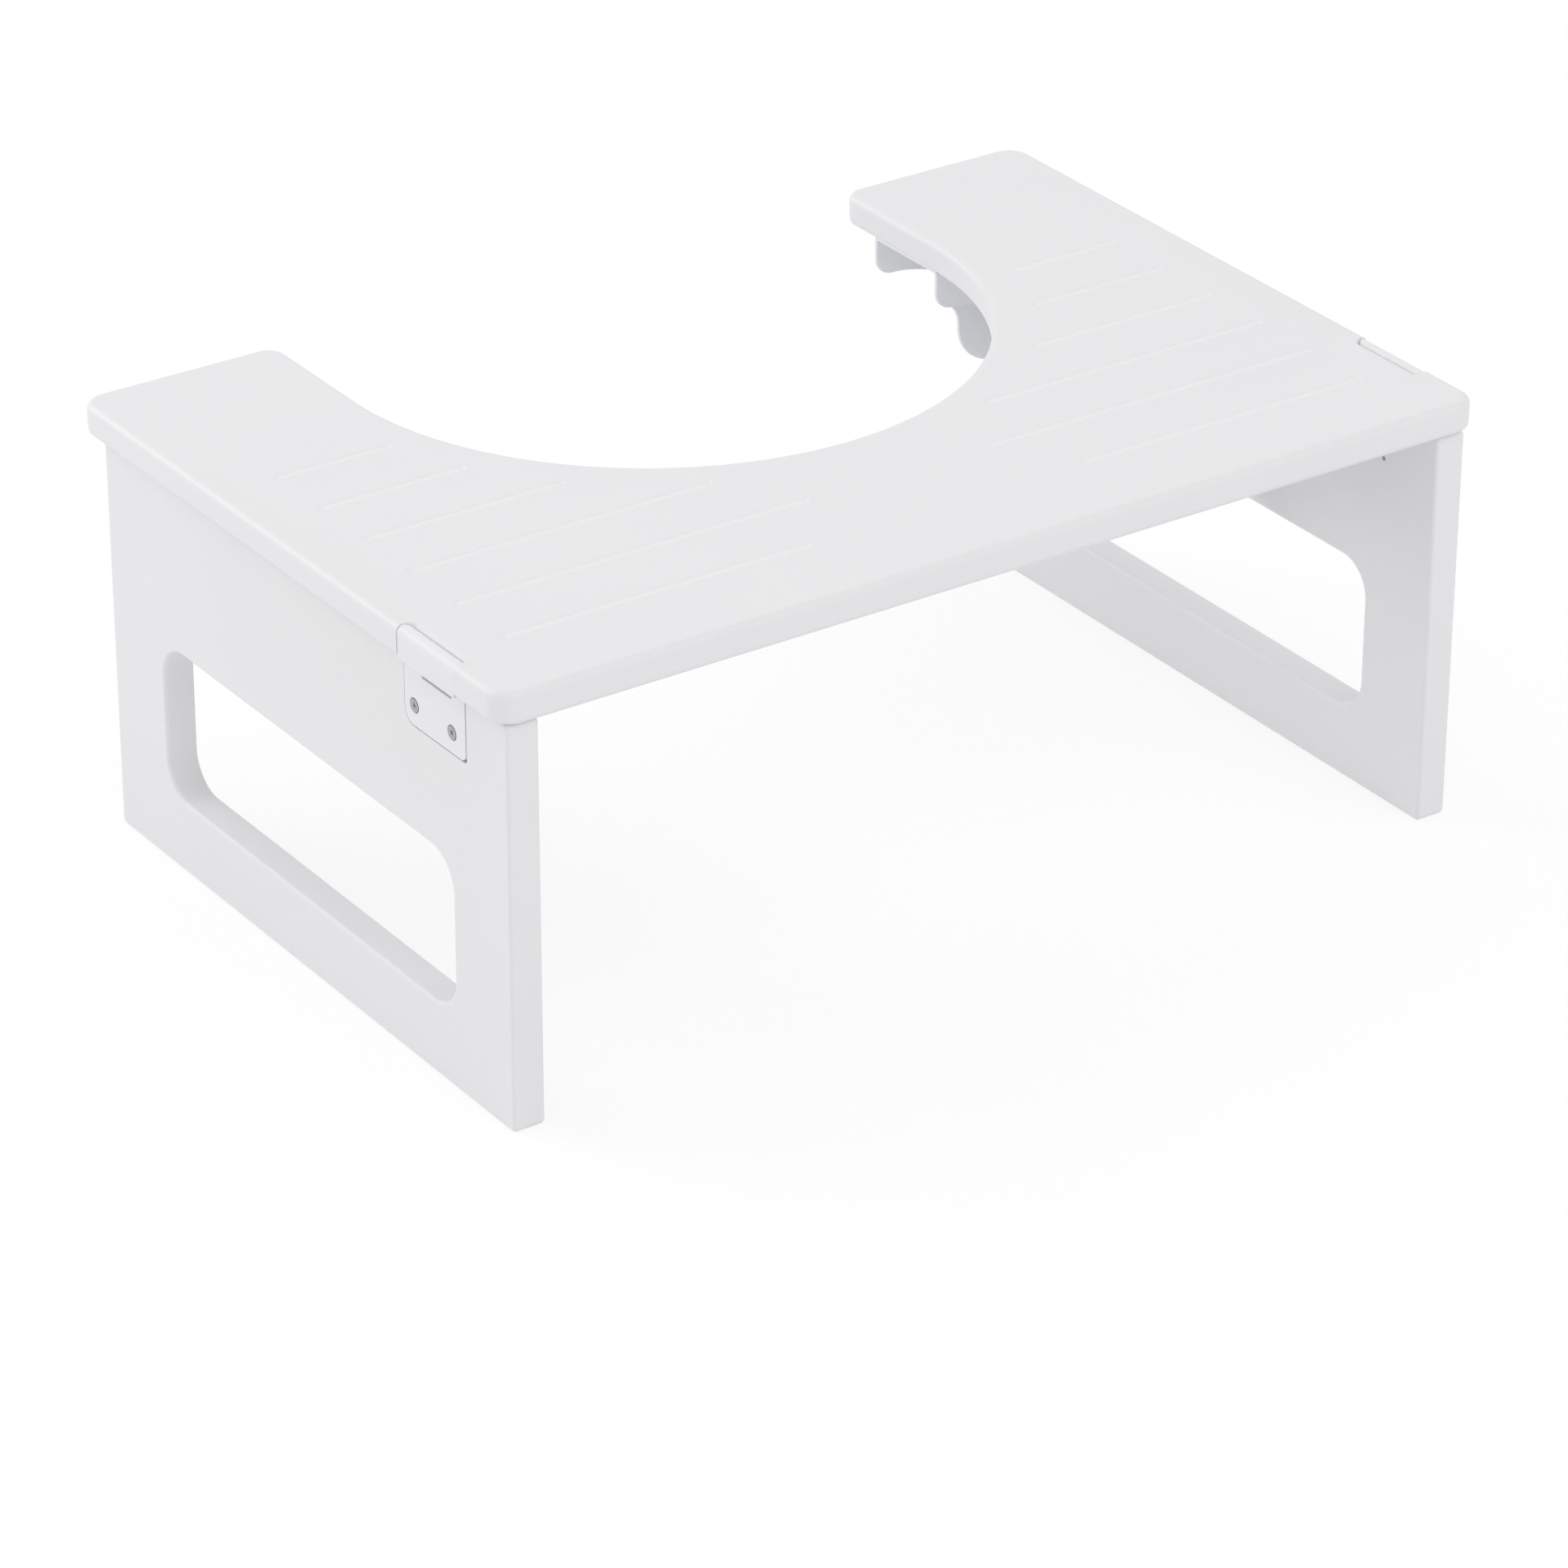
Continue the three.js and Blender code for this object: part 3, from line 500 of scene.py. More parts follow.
plate_front = -half_depth + 0.03055
plate_rear = plate_front + 0.0404
plate_bottom = underside - 0.0268
plate_thickness = 0.002
plate_notch_rear = plate_rear - 0.012
plate_notch_front = plate_notch_rear - 0.0196
plate_notch_bottom = underside - 0.0053
plate_front_gap = 0.0009
plate_rear_gap = 0.00012
plate_screw_height = underside - 0.0186
plate_screws = (plate_front + 0.0089, plate_front + 0.0340)
seat_corners = (0.0017, 0.0063, cut_corner, cut_corner)
seat_overrun = 0.004
slot_depth = 0.006
slot_overrun = 0.001
pin_inset = 0.03375
pin_drop = 0.0208
pin_radius = 0.001
pin_depth = 0.004
cut_edge = 0.0002


def across_x(shell, low, side):
    """A shell drawn in Y and Z, stood up across X on either side."""
    verts, faces = shell
    return mirrored(([(z + low, x, y) for x, y, z in verts], faces), side)


def clockwise(loop):
    """An anticlockwise loop the other way round, for a hole."""
    return list(reversed(loop))


for side, name in sides:
    outline = round_corners(leg_front, 0, leg_back, leg_top, (leg_corner,) * 4)
    window = round_corners(leg_middle - window_length / 2, window_sill, leg_middle + window_length / 2,
                           window_top, (window_corner,) * 4, 16)
    board = slab(outline, [clockwise(window)], 0, leg_thickness, leg_edge_round, 7)
    leg = new_piece(f"{name}_windowed_leg", across_x(board, leg_inner, side))

    seat_plan = round_corners(plate_front - plate_front_gap, plate_bottom - fit_gap,
                              plate_rear + plate_rear_gap, leg_top + seat_overrun, seat_corners, 8)
    seat = slab(seat_plan, [], 0, plate_thickness + fit_gap + seat_overrun, cut_edge, 2)
    seat_cut = new_piece("seat", across_x(seat, leg_outer - plate_thickness - fit_gap, side))
    slot_cut = new_piece("slot", mirrored(box_shell(
        (leg_outer - plate_thickness - slot_depth, plate_notch_front, plate_notch_bottom),
        (leg_outer + slot_overrun, plate_notch_rear, leg_top + slot_overrun)), side))
    pin_hole = arc(-half_depth + pin_inset, underside - pin_drop, pin_radius, 0, 345, 23)
    pin = slab(pin_hole, [], -cut_overrun, pin_depth, cut_edge, 1)
    pin_cut = new_piece("pin", across_x(pin, leg_inner, side))
    carve(leg, seat_cut, slot_cut, pin_cut)
    coat(leg, 0, satin_paint)
    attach(leg, f"{name}_leg")
    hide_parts(f"{name}_leg_board")


# Folding brackets: each is two channels pressed from 1.8 mm steel sheet and powder coated white.
# A blank is cut with its holes, its edges are deburred, and the flanges are folded down.
# The wider channel straddles the narrower one, and a rivet through both is the hinge.
sheet = 0.0018
bend = 0.0024
sheet_edge = 0.00035
half_channel = 0.0215
half_leg_channel = half_channel + fit_gap + sheet
pivot_inset = 0.0127
pivot_drop = 0.0193
pivot_x = leg_inner - pivot_inset
pivot_z = underside - pivot_drop
bracket_places = (("rear", half_depth - 0.04025, 1), ("front", -half_depth + 0.13425, -1))
coat_white = (0.872, 0.880, 0.900, 1)
coat_shadow_white = (0.845, 0.855, 0.882, 1)
coat_edge_tone = (0.760, 0.768, 0.790, 1)
bend_arc = bend * math.pi / 2
bend_steps = 6

table_back = pivot_drop - fit_gap
table_reach = 0.0528
table_end_depth = 0.018
table_end_radius = 0.0075
nose_radius = 0.0096
nose_angle = -105
edge_start_handle = 0.28
edge_end_handle = 0.52
table_screws = (0.0215, 0.0415)
leg_screws = (0.021, 0.039)
screw_head = 0.007

strip_half = 0.004
strip_corner = 0.0006
strip_low = -0.0055
strip_high = -0.0037
strip_edge = 0.0003
staked_share = 0.8
bar_inset = 0.0066
bar_rise = 0.011
bar_travel = 0.003
bar_diameter = 0.004
slot_half = bar_diameter / 2 + fit_gap
sliver = 0.00001
catch_radius = 0.003
rivet_diameter = 0.005
fold_angle = math.radians(102)

leg_back_face = pivot_inset - fit_gap
lobe_rise = 0.0184
lobe_radius = 0.016
lobe_handle = 0.0179
shoulder = (-0.0134, -0.023)
shoulder_slope = math.radians(-34)
shoulder_handle = 0.0018
neck_reach = 0.0097
neck_drop = 0.032
neck_handle = 0.0045
channel_feet = {"rear": (0.051, 0.018), "front": (0.0457, 0.0127)}


def bezier(start, first, second, end, steps):
    """Points along a curve with two handles, without its start."""
    points = []
    for i in range(1, steps + 1):
        t = i / steps
        weights = ((1 - t) ** 3, 3 * t * (1 - t) ** 2, 3 * t * t * (1 - t), t ** 3)
        points.append(tuple(sum(w * p[k] for w, p in zip(weights, (start, first, second, end)))
                            for k in (0, 1)))
    return points


def bend_lines(half_outside):
    """Where a blank is bent, measured across it from its middle."""
    flat = half_outside - bend
    steps = [flat + bend_arc * i / bend_steps for i in range(bend_steps + 1)]
    return [-u for u in reversed(steps)] + steps


def along_flange(half_outside, depth):
    """A depth below the channel's back, measured across the blank."""
    return half_outside - bend + bend_arc + depth - bend


def blank(flange_edge, low, high, half_outside, holes):
    """The flat blank: the flange's edge on both sides, and straight ends across the back."""
    lines = bend_lines(half_outside)
    edge = [(v, along_flange(half_outside, depth)) for v, depth in flange_edge]
    outline = ([(v, -u) for v, u in edge] + [(high, u) for u in lines]
               + [(v, u) for v, u in reversed(edge)] + [(low, u) for u in reversed(lines)])
    creases = [[(low + sheet_edge, u), (high - sheet_edge, u)] for u in lines]
    return slab(outline, [clockwise(hole) for hole in holes], 0, sheet, sheet_edge, 3, creases)


def folded(shell, half_outside, back, place):
    """The blank with its flanges folded, each point set where place puts (along, across, above)."""
    flat = half_outside - bend
    verts = []
    for v, u, s in shell[0]:
        sign, reach, radius = math.copysign(1, u), abs(u), bend - sheet + s
        if reach <= flat:
            across, depth = reach, sheet - s
        elif reach <= flat + bend_arc:
            turn = (reach - flat) / bend
            across, depth = flat + radius * math.sin(turn), bend - radius * math.cos(turn)
        else:
            across, depth = flat + radius, bend + reach - flat - bend_arc
        verts.append(place(v, sign * across, back - depth))
    return verts, shell[1]


def at_bracket(shell, side, y, facing):
    """A shell made round a right-hand pivot, at one of the four brackets."""
    verts, faces = shell
    verts = [(side * (pivot_x + vx), y + facing * vy, pivot_z + vz) for vx, vy, vz in verts]
    return verts, faces if side * facing > 0 else turned_out(faces)


def ring(x, y, radius, steps=28):
    """A closed circle, anticlockwise."""
    return arc(x, y, radius, 0, 360 - 360 / steps, steps - 1)


def under_top(along, across, height):
    """A folded point of a channel that lies under the top."""
    return along, across, height


def on_leg(along, across, reach):
    """A folded point of a channel that stands on a leg."""
    return reach, -across, along


def table_channel():
    """The channel under the top: a square-cut end, a falling lower edge and a round nose."""
    end_z = pivot_drop - table_end_depth
    start = (-table_reach + table_end_radius, end_z)
    angle = math.radians(nose_angle)
    end = (nose_radius * math.cos(angle), nose_radius * math.sin(angle))
    span = end[0] - start[0]
    rear_handle = (start[0] + span * edge_start_handle, start[1])
    nose_handle = (end[0] + span * edge_end_handle * math.sin(angle),
                   end[1] - span * edge_end_handle * math.cos(angle))
    side_view = (arc(start[0], end_z + table_end_radius, table_end_radius, 180, 270, 10)
                 + bezier(start, rear_handle, nose_handle, end, 20)
                 + arc(0, 0, nose_radius, nose_angle, 0, 18)[1:])
    edge = [(x, table_back - z) for x, z in side_view]
    holes = [ring(-reach, 0, screw_head / 2 + fit_gap) for reach in table_screws]
    middle = along_flange(half_channel, table_back)
    high = along_flange(half_channel, table_back - (bar_rise + slot_half))
    low = along_flange(half_channel, table_back - (bar_rise - bar_travel - slot_half))
    for sign in (-1, 1):
        holes.append(ring(0, sign * middle, rivet_diameter / 2 + fit_gap))
        holes.append(round_corners(-bar_inset - slot_half, min(sign * high, sign * low),
                                   -bar_inset + slot_half, max(sign * high, sign * low),
                                   (slot_half - sliver,) * 4, 8))
    shell = blank(edge, -table_reach, nose_radius, half_channel, holes)
    return folded(shell, half_channel, table_back, under_top)


def spring_seat():
    """The strip across the table channel that the spring stands on, staked into both flanges."""
    reach = half_channel - sheet * staked_share
    strip = round_corners(-bar_inset - strip_half, -reach, -bar_inset + strip_half, reach,
                          (strip_corner,) * 4, 4)
    return slab(strip, [], strip_low, strip_high, strip_edge, 3)


def bar_in_leg(angle):
    """The lock bar's place in the leg channel when the leg has turned by an angle."""
    rise = bar_rise - bar_travel * angle / fold_angle
    return (-bar_inset * math.cos(angle) - rise * math.sin(angle),
            -bar_inset * math.sin(angle) + rise * math.cos(angle))


def cam_slot():
    """The catch, and the curved slot that the bar rides in from there, in side view."""
    steps = 24
    path = [bar_in_leg(fold_angle * i / steps) for i in range(steps + 2)]
    inner, outer = [], []
    for (x0, z0), (x1, z1) in zip(path, path[1:]):
        length = math.hypot(x1 - x0, z1 - z0)
        along = ((x1 - x0) / length, (z1 - z0) / length)
        inner.append((x0 - along[1] * slot_half, z0 + along[0] * slot_half))
        outer.append((x0 + along[1] * slot_half, z0 - along[0] * slot_half))
    last = path[steps]
    turn = math.degrees(math.atan2(inner[-1][1] - last[1], inner[-1][0] - last[0]))
    finish = arc(last[0], last[1], slot_half, turn, turn - 180, 10)[1:-1]
    centre = path[0]
    inner, outer = ([p for p in edge if math.dist(p, centre) > catch_radius] for edge in (inner, outer))
    opening = math.degrees(math.atan2(inner[0][1] - centre[1], inner[0][0] - centre[0]))
    closing = math.degrees(math.atan2(outer[0][1] - centre[1], outer[0][0] - centre[0]))
    if closing < opening:
        closing += 360
    round_catch = arc(centre[0], centre[1], catch_radius, closing, opening + 360, 22)[1:-1]
    return inner + finish + list(reversed(outer)) + round_catch


def leg_channel(channel_drop, foot_radius):
    """The channel on the leg: straight at its back, with a round lobe, a neck and a rounded foot."""
    lobe_centre = lobe_rise - lobe_radius
    neck = (-neck_reach, -neck_drop)
    aside = (shoulder_handle * math.cos(shoulder_slope), shoulder_handle * math.sin(shoulder_slope))
    side_view = arc(-neck_reach + foot_radius, -channel_drop + foot_radius, foot_radius, 270, 180, 20)
    side_view.append(neck)
    side_view += bezier(neck, (neck[0], neck[1] + neck_handle),
                        (shoulder[0] + aside[0], shoulder[1] + aside[1]), shoulder, 12)
    side_view += bezier(shoulder, (shoulder[0] - aside[0], shoulder[1] - aside[1]),
                        (-lobe_radius, lobe_centre - lobe_handle), (-lobe_radius, lobe_centre), 16)
    side_view += arc(0, lobe_centre, lobe_radius, 180, 90, 20)[1:]
    edge = [(z, leg_back_face - x) for x, z in side_view]
    holes = [ring(-drop, 0, screw_head / 2 + fit_gap) for drop in leg_screws]
    middle = along_flange(half_leg_channel, leg_back_face)
    holes += [ring(0, sign * middle, rivet_diameter / 2 + fit_gap) for sign in (-1, 1)]
    slot = [(z, -along_flange(half_leg_channel, leg_back_face - x)) for x, z in cam_slot()]
    area = sum(x0 * y1 - x1 * y0 for (x0, y0), (x1, y1) in zip(slot, slot[1:] + slot[:1]))
    holes.append(slot if area > 0 else clockwise(slot))
    shell = blank(edge, -channel_drop, lobe_rise, half_leg_channel, holes)
    return folded(shell, half_leg_channel, leg_back_face, on_leg)


powder_coat = sprayed("white_powder_coat", coat_white, coat_shadow_white, coat_edge_tone,
                      roughness=0.36, grain=1500, grain_height=0.00004)
for side, side_name in sides:
    for place, y, facing in bracket_places:
        prefix = f"{side_name}_{place}"
        shells = (table_channel(), spring_seat(), leg_channel(*channel_feet[place]))
        *under, upright = (at_bracket(shell, side, y, facing) for shell in shells)
        table = new_piece(f"{prefix}_pressed_table_channel", *under)
        straddle = new_piece(f"{prefix}_pressed_leg_channel", upright)
        for piece, body, node in ((table, "stool_top", "table_channel"),
                                  (straddle, f"{side_name}_leg", "leg_channel")):
            coat(piece, 1, powder_coat)
            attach(piece, body)
            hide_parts(f"{prefix}_{node}")


# Turned and drawn steel of the brackets: the pivot rivets with their formed heads, the lock bars
# and the springs that push them up into the catch. Zinc plated and left bright.
zinc_light = (0.66, 0.665, 0.675, 1)
zinc_dark = (0.47, 0.475, 0.49, 1)
rivet_sizes = {"Length": 2 * (half_leg_channel + fit_gap), "Shank Diameter": rivet_diameter,
               "Head Diameter": 0.009, "Head Height": 0.0016, "Sides": 36}
rivet_dome_rings = 14
rivet_dome_power = 0.8
bar_stand_out = 0.0008
bar_low = -half_channel
bar_high = half_leg_channel + bar_stand_out
bar_sizes = {"Length": bar_high - bar_low, "Diameter": bar_diameter, "Chamfer": 0.0005, "Sides": 28}
spring_wire = 0.0009
spring_low = strip_high + fit_gap
spring_high = bar_rise - bar_diameter / 2 - fit_gap
spring_tall = spring_high - spring_low
spring_sizes = {"Outer Diameter": 0.0064, "Wire": spring_wire, "Height": spring_tall - spring_wire,
                "Closing": 0.48, "Turns": 6, "Sides": 12}
steps_in_a_turn = 22
spangle_scale = 900
plate_cloud_scale = 300
shine_below, shine_above = 0.08, 0.10
scratch_strength, scratch_depth = 0.3, 0.00003
merge_distance = 0.000002


def plated(name, light_tone, dark_tone, roughness, metallic):
    """Zinc plate: a cloudy spangle, fine scratches, and a slightly uneven shine."""
    material, tree, shader, coordinates = finish_material(name, roughness, metallic)
    spangle = add_node(tree, "ShaderNodeTexVoronoi", {"Vector": coordinates, "Scale": spangle_scale})
    clouds = noise(tree, coordinates, plate_cloud_scale, detail=4)
    share = calculate(tree, "MULTIPLY", spangle.outputs["Distance"], clouds)
    fill(tree, shader, {
        "Base Color": mix(tree, share, light_tone, dark_tone),
        "Roughness": between(tree, clouds, roughness - shine_below, roughness + shine_above),
        "Normal": bump(tree, clouds, scratch_strength, scratch_depth)})
    return material


def geometry_tree(name, sizes):
    """A node tree with a geometry input and output, and a named input for each size."""
    tree = bpy.data.node_groups.new(name, "GeometryNodeTree")
    kinds = {size: "Int" if isinstance(value, int) else "Float" for size, value in sizes.items()}
    for socket, kind in {"Geometry": "Geometry", **kinds, "Finish": "Material"}.items():
        tree.interface.new_socket(socket, in_out="INPUT", socket_type=f"NodeSocket{kind}")
    tree.interface.new_socket("Geometry", in_out="OUTPUT", socket_type="NodeSocketGeometry")
    return tree, tree.nodes.new("NodeGroupInput").outputs


def run_tree(name, tree, places, sizes, material, aim=None):
    """A piece that the tree makes at each of the places, as a plain mesh. All point along the aim."""
    mesh = bpy.data.meshes.new(name)
    mesh.from_pydata(places, [], [])
    if aim:
        mesh.attributes.new("aim", "FLOAT_VECTOR", "POINT").data.foreach_set("vector", aim * len(places))
    piece = into_scene(name, mesh)
    maker = piece.modifiers.new("maker", "NODES")
    maker.node_group = tree
    given = {**sizes, "Finish": material}
    for item in tree.interface.items_tree:
        if item.in_out == "INPUT" and item.name in given:
            maker[item.identifier] = given[item.name]
    settle(piece)
    return piece


def half_of(tree, value):
    """Half of a socket's value."""
    return calculate(tree, "MULTIPLY", value, 0.5)


def minus(tree, value):
    """A socket's value, counted downwards."""
    return calculate(tree, "MULTIPLY", value, -1.0)


def at_height(tree, mesh, z):
    """The mesh moved along Z."""
    offset = add_node(tree, "ShaderNodeCombineXYZ", {"Z": z})
    return add_node(tree, "GeometryNodeTransform", {
        "Geometry": mesh, "Translation": offset.outputs[0]}).outputs["Geometry"]


def upside_down(tree, mesh):
    """The mesh turned over, for the other end of a straight piece."""
    return add_node(tree, "GeometryNodeTransform", {
        "Geometry": mesh, "Rotation": (math.pi, 0, 0)}).outputs["Geometry"]


def joined(tree, *parts):
    """The parts as one geometry."""
    join = tree.nodes.new("GeometryNodeJoinGeometry")
    for part in parts:
        tree.links.new(part, join.inputs["Geometry"])
    return join.outputs["Geometry"]


def rod(tree, given, radius, length, ends="NONE"):
    """A round length, open at both ends unless ends are asked for."""
    return add_node(tree, "GeometryNodeMeshCylinder", {
        "Vertices": given["Sides"], "Radius": radius, "Depth": length}, fill_type=ends).outputs["Mesh"]


def taper(tree, given, low, high, length, open_end):
    """A tapered length without the face at one end, where the next length goes on."""
    cone = add_node(tree, "GeometryNodeMeshCone", {
        "Vertices": given["Sides"], "Radius Bottom": low, "Radius Top": high, "Depth": length})
    return add_node(tree, "GeometryNodeDeleteGeometry", {
        "Geometry": cone.outputs["Mesh"], "Selection": cone.outputs[open_end]},
        domain="FACE").outputs["Geometry"]


def merged(tree, mesh):
    """The mesh with one point wherever its lengths meet."""
    return add_node(tree, "GeometryNodeMergeByDistance", {
        "Geometry": mesh, "Distance": merge_distance}).outputs["Geometry"]


def set_out(tree, given, made, rotation=None):
    """Puts one of what was made at each given point, and gives it its finish."""
    spread = add_node(tree, "GeometryNodeInstanceOnPoints", {
        "Points": given["Geometry"], "Instance": made})
    if rotation is not None:
        tree.links.new(rotation, spread.inputs["Rotation"])
    real = add_node(tree, "GeometryNodeRealizeInstances", {"Geometry": spread.outputs["Instances"]})
    finished = add_node(tree, "GeometryNodeSetMaterial", {
        "Geometry": merged(tree, real.outputs["Geometry"]), "Material": given["Finish"]})
    end = tree.nodes.new("NodeGroupOutput")
    tree.links.new(finished.outputs["Geometry"], end.inputs["Geometry"])


def lying_along_y(tree):
    """A quarter turn that lays what stands along Z along Y."""
    return add_node(tree, "FunctionNodeEulerToRotation", {
        "Euler": (math.pi / 2, 0, 0)}).outputs["Rotation"]


def rivet_tree():
    """A pivot rivet: a plain shank and a low dome formed on each end."""
    tree, given = geometry_tree("Pivot rivet", rivet_sizes)
    shank = rod(tree, given, half_of(tree, given["Shank Diameter"]), given["Length"], "NGON")
    ball = add_node(tree, "GeometryNodeMeshUVSphere", {
        "Segments": given["Sides"], "Rings": rivet_dome_rings, "Radius": 1.0}).outputs["Mesh"]
    place = add_node(tree, "ShaderNodeSeparateXYZ", {
        "Vector": tree.nodes.new("GeometryNodeInputPosition").outputs[0]})
    upper = calculate(tree, "MAXIMUM", place.outputs["Z"], 0.0)
    radius = half_of(tree, given["Head Diameter"])
    domed = add_node(tree, "ShaderNodeCombineXYZ", {
        "X": calculate(tree, "MULTIPLY", place.outputs["X"], radius),
        "Y": calculate(tree, "MULTIPLY", place.outputs["Y"], radius),
        "Z": calculate(tree, "MULTIPLY", calculate(tree, "POWER", upper, rivet_dome_power),
                       given["Head Height"])})
    dome = add_node(tree, "GeometryNodeSetPosition", {
        "Geometry": ball, "Position": domed.outputs[0]}).outputs["Geometry"]
    head = at_height(tree, dome, half_of(tree, given["Length"]))
    set_out(tree, given, joined(tree, shank, head, upside_down(tree, head)), lying_along_y(tree))
    return tree


def bar_tree():
    """A lock bar: cut from round bar, with a chamfer at each end."""
    tree, given = geometry_tree("Lock bar", bar_sizes)
    radius = half_of(tree, given["Diameter"])
    straight = calculate(tree, "SUBTRACT", given["Length"],
                         calculate(tree, "MULTIPLY", given["Chamfer"], 2.0))
    body = rod(tree, given, radius, straight)
    narrow = calculate(tree, "SUBTRACT", radius, given["Chamfer"])
    end = at_height(tree, taper(tree, given, radius, narrow, given["Chamfer"], "Bottom"),
                    half_of(tree, straight))
    set_out(tree, given, joined(tree, body, end, upside_down(tree, end)), lying_along_y(tree))
    return tree


def spring_tree():
    """An open compression spring: its end turns lie close together and its middle ones apart."""
    tree, given = geometry_tree("Lock spring", spring_sizes)
    radius = half_of(tree, calculate(tree, "SUBTRACT", given["Outer Diameter"], given["Wire"]))
    coil = add_node(tree, "GeometryNodeCurveSpiral", {
        "Resolution": steps_in_a_turn, "Rotations": given["Turns"], "Height": given["Height"],
        "Start Radius": radius, "End Radius": radius}).outputs["Curve"]
    share = tree.nodes.new("GeometryNodeSplineParameter").outputs["Factor"]
    wave = calculate(tree, "SINE", calculate(tree, "MULTIPLY", share, 2 * math.pi))
    most = calculate(tree, "MULTIPLY", given["Closing"], given["Height"])
    drift = calculate(tree, "MULTIPLY", wave, most)
    offset = add_node(tree, "ShaderNodeCombineXYZ", {
        "Z": calculate(tree, "MULTIPLY", drift, -1 / (2 * math.pi))})
    closed = add_node(tree, "GeometryNodeSetPosition", {
        "Geometry": coil, "Offset": offset.outputs[0]}).outputs["Geometry"]
    wire = add_node(tree, "GeometryNodeCurvePrimitiveCircle", {
        "Resolution": given["Sides"], "Radius": half_of(tree, given["Wire"])})
    drawn = add_node(tree, "GeometryNodeCurveToMesh", {
        "Curve": closed, "Profile Curve": wire.outputs["Curve"], "Fill Caps": True})
    set_out(tree, given, drawn.outputs["Mesh"])
    return tree


zinc = plated("zinc_plate", zinc_light, zinc_dark, roughness=0.34, metallic=0.9)
rivets_at = [(side * pivot_x, y, pivot_z) for side, _ in sides for _, y, _ in bracket_places]
rivets = run_tree("pivot_rivets", rivet_tree(), rivets_at, rivet_sizes, zinc)
smooth(rivets)
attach(rivets, "stool_top")
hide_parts(*[f"{side}_{place}_pivot_rivet" for side in ("left", "right")
                      for place, _, _ in bracket_places])

lock_bars = bar_tree()
lock_springs = spring_tree()
for side, side_name in sides:
    for place, y, facing in bracket_places:
        prefix = f"{side_name}_{place}"
        x = side * (pivot_x - bar_inset)
        middle = (x, y + facing * (bar_low + bar_high) / 2, pivot_z + bar_rise)
        bar = run_tree(f"{prefix}_sliding_bar", lock_bars, [middle], bar_sizes, zinc)
        smooth(bar)
        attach(bar, f"{prefix}_lock")
        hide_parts(f"{prefix}_lock_bar")

        foot = (x, y, pivot_z + spring_low + spring_wire / 2)
        spring = run_tree(f"{prefix}_coil_spring", lock_springs, [foot], spring_sizes, zinc)
        smooth(spring)
        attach(spring, "stool_top")
        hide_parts(f"{prefix}_lock_spring")
        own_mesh(spring)


# Edge caps: a moulded white cap let into the notch in each side edge of the top. Its outer wall
# carries on the board's rounded edge a little below the board's own face, two ribs cross the slot
# behind it, and a tongue holds it in the board.
cap_top = stool_height - 0.0003
cap_round = 0.003
cap_rear_corner = 0.003
cap_inner_ease = 0.0018
rib_places = ((0.0151, 0.0017), (0.0213, 0.0010))
rib_drop = 0.0010
rib_edge = 0.0001
cap_edge = 0.0002
nylon_white = (0.815, 0.817, 0.830, 1)
nylon_shadow_white = (0.792, 0.795, 0.810, 1)
nylon_edge_tone = (0.730, 0.730, 0.735, 1)


def cap_section(inner):
    """The cap cut across in X and Z, where its inner wall stands at a given X."""
    ease = min(cap_inner_ease, (cap_outer - inner) / 3)
    round_centre = cap_outer - cap_round
    reach = (inner + ease - round_centre) / cap_round
    turned = math.degrees(math.acos(max(reach, 0)))
    outside = arc(round_centre, cap_top - cap_round, cap_round, 0, turned, 24)[:-1]
    crest = outside[-1][1]
    return [(inner, underside), (cap_outer, underside), *outside,
            *arc(inner + ease, crest - ease, ease, 90, 180, 8)]


def cap_wall_shell():
    """The cap's wall, drawn along Y: its inner wall curves out to the rear end in plan."""
    sections = [(cap_front, inset_loop(cap_section(cap_inner), cap_edge)),
                (cap_front + cap_edge, cap_section(cap_inner))]
    last = math.degrees(math.asin(1 - cap_edge / cap_rear_corner))
    for along, across in arc(cap_rear - cap_rear_corner, 0, cap_rear_corner, 90, 90 - last, 10):
        sections.append((along, cap_section(cap_inner + cap_rear_corner - across)))
    sections.append((cap_rear, inset_loop(cap_section(cap_inner + cap_rear_corner), cap_edge)))
    verts, faces = stacked([[(x, y, z) for x, z in section] for y, section in sections])
    return verts, turned_out(faces)


white_nylon = sprayed("moulded_white_nylon", nylon_white, nylon_shadow_white, nylon_edge_tone,
                      roughness=0.42, grain=1300, grain_height=0.00003)
for side, name in sides:
    shells = [cap_wall_shell(), box_shell(
        (notch_wall - tongue_reach, tongue_middle - tongue_length / 2, underside + tongue_rise),
        (cap_inner + cap_wall / 2, tongue_middle + tongue_length / 2,
         underside + tongue_rise + tongue_height))]
    for inset, width in rib_places:
        rear = cap_rear - inset
        rib = round_corners(notch_wall + cap_rear_gap, rear - width, cap_inner + cap_wall / 2, rear,
                            (cap_edge,) * 4, 3)
        shells.append(slab(rib, [], underside + rib_drop, cap_top - rib_drop, rib_edge, 2))
    cap = new_piece(f"{name}_moulded_cap", *(mirrored(shell, side) for shell in shells))
    coat(cap, 2, white_nylon)
    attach(cap, "stool_top")
    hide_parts(f"{name}_edge_cap")


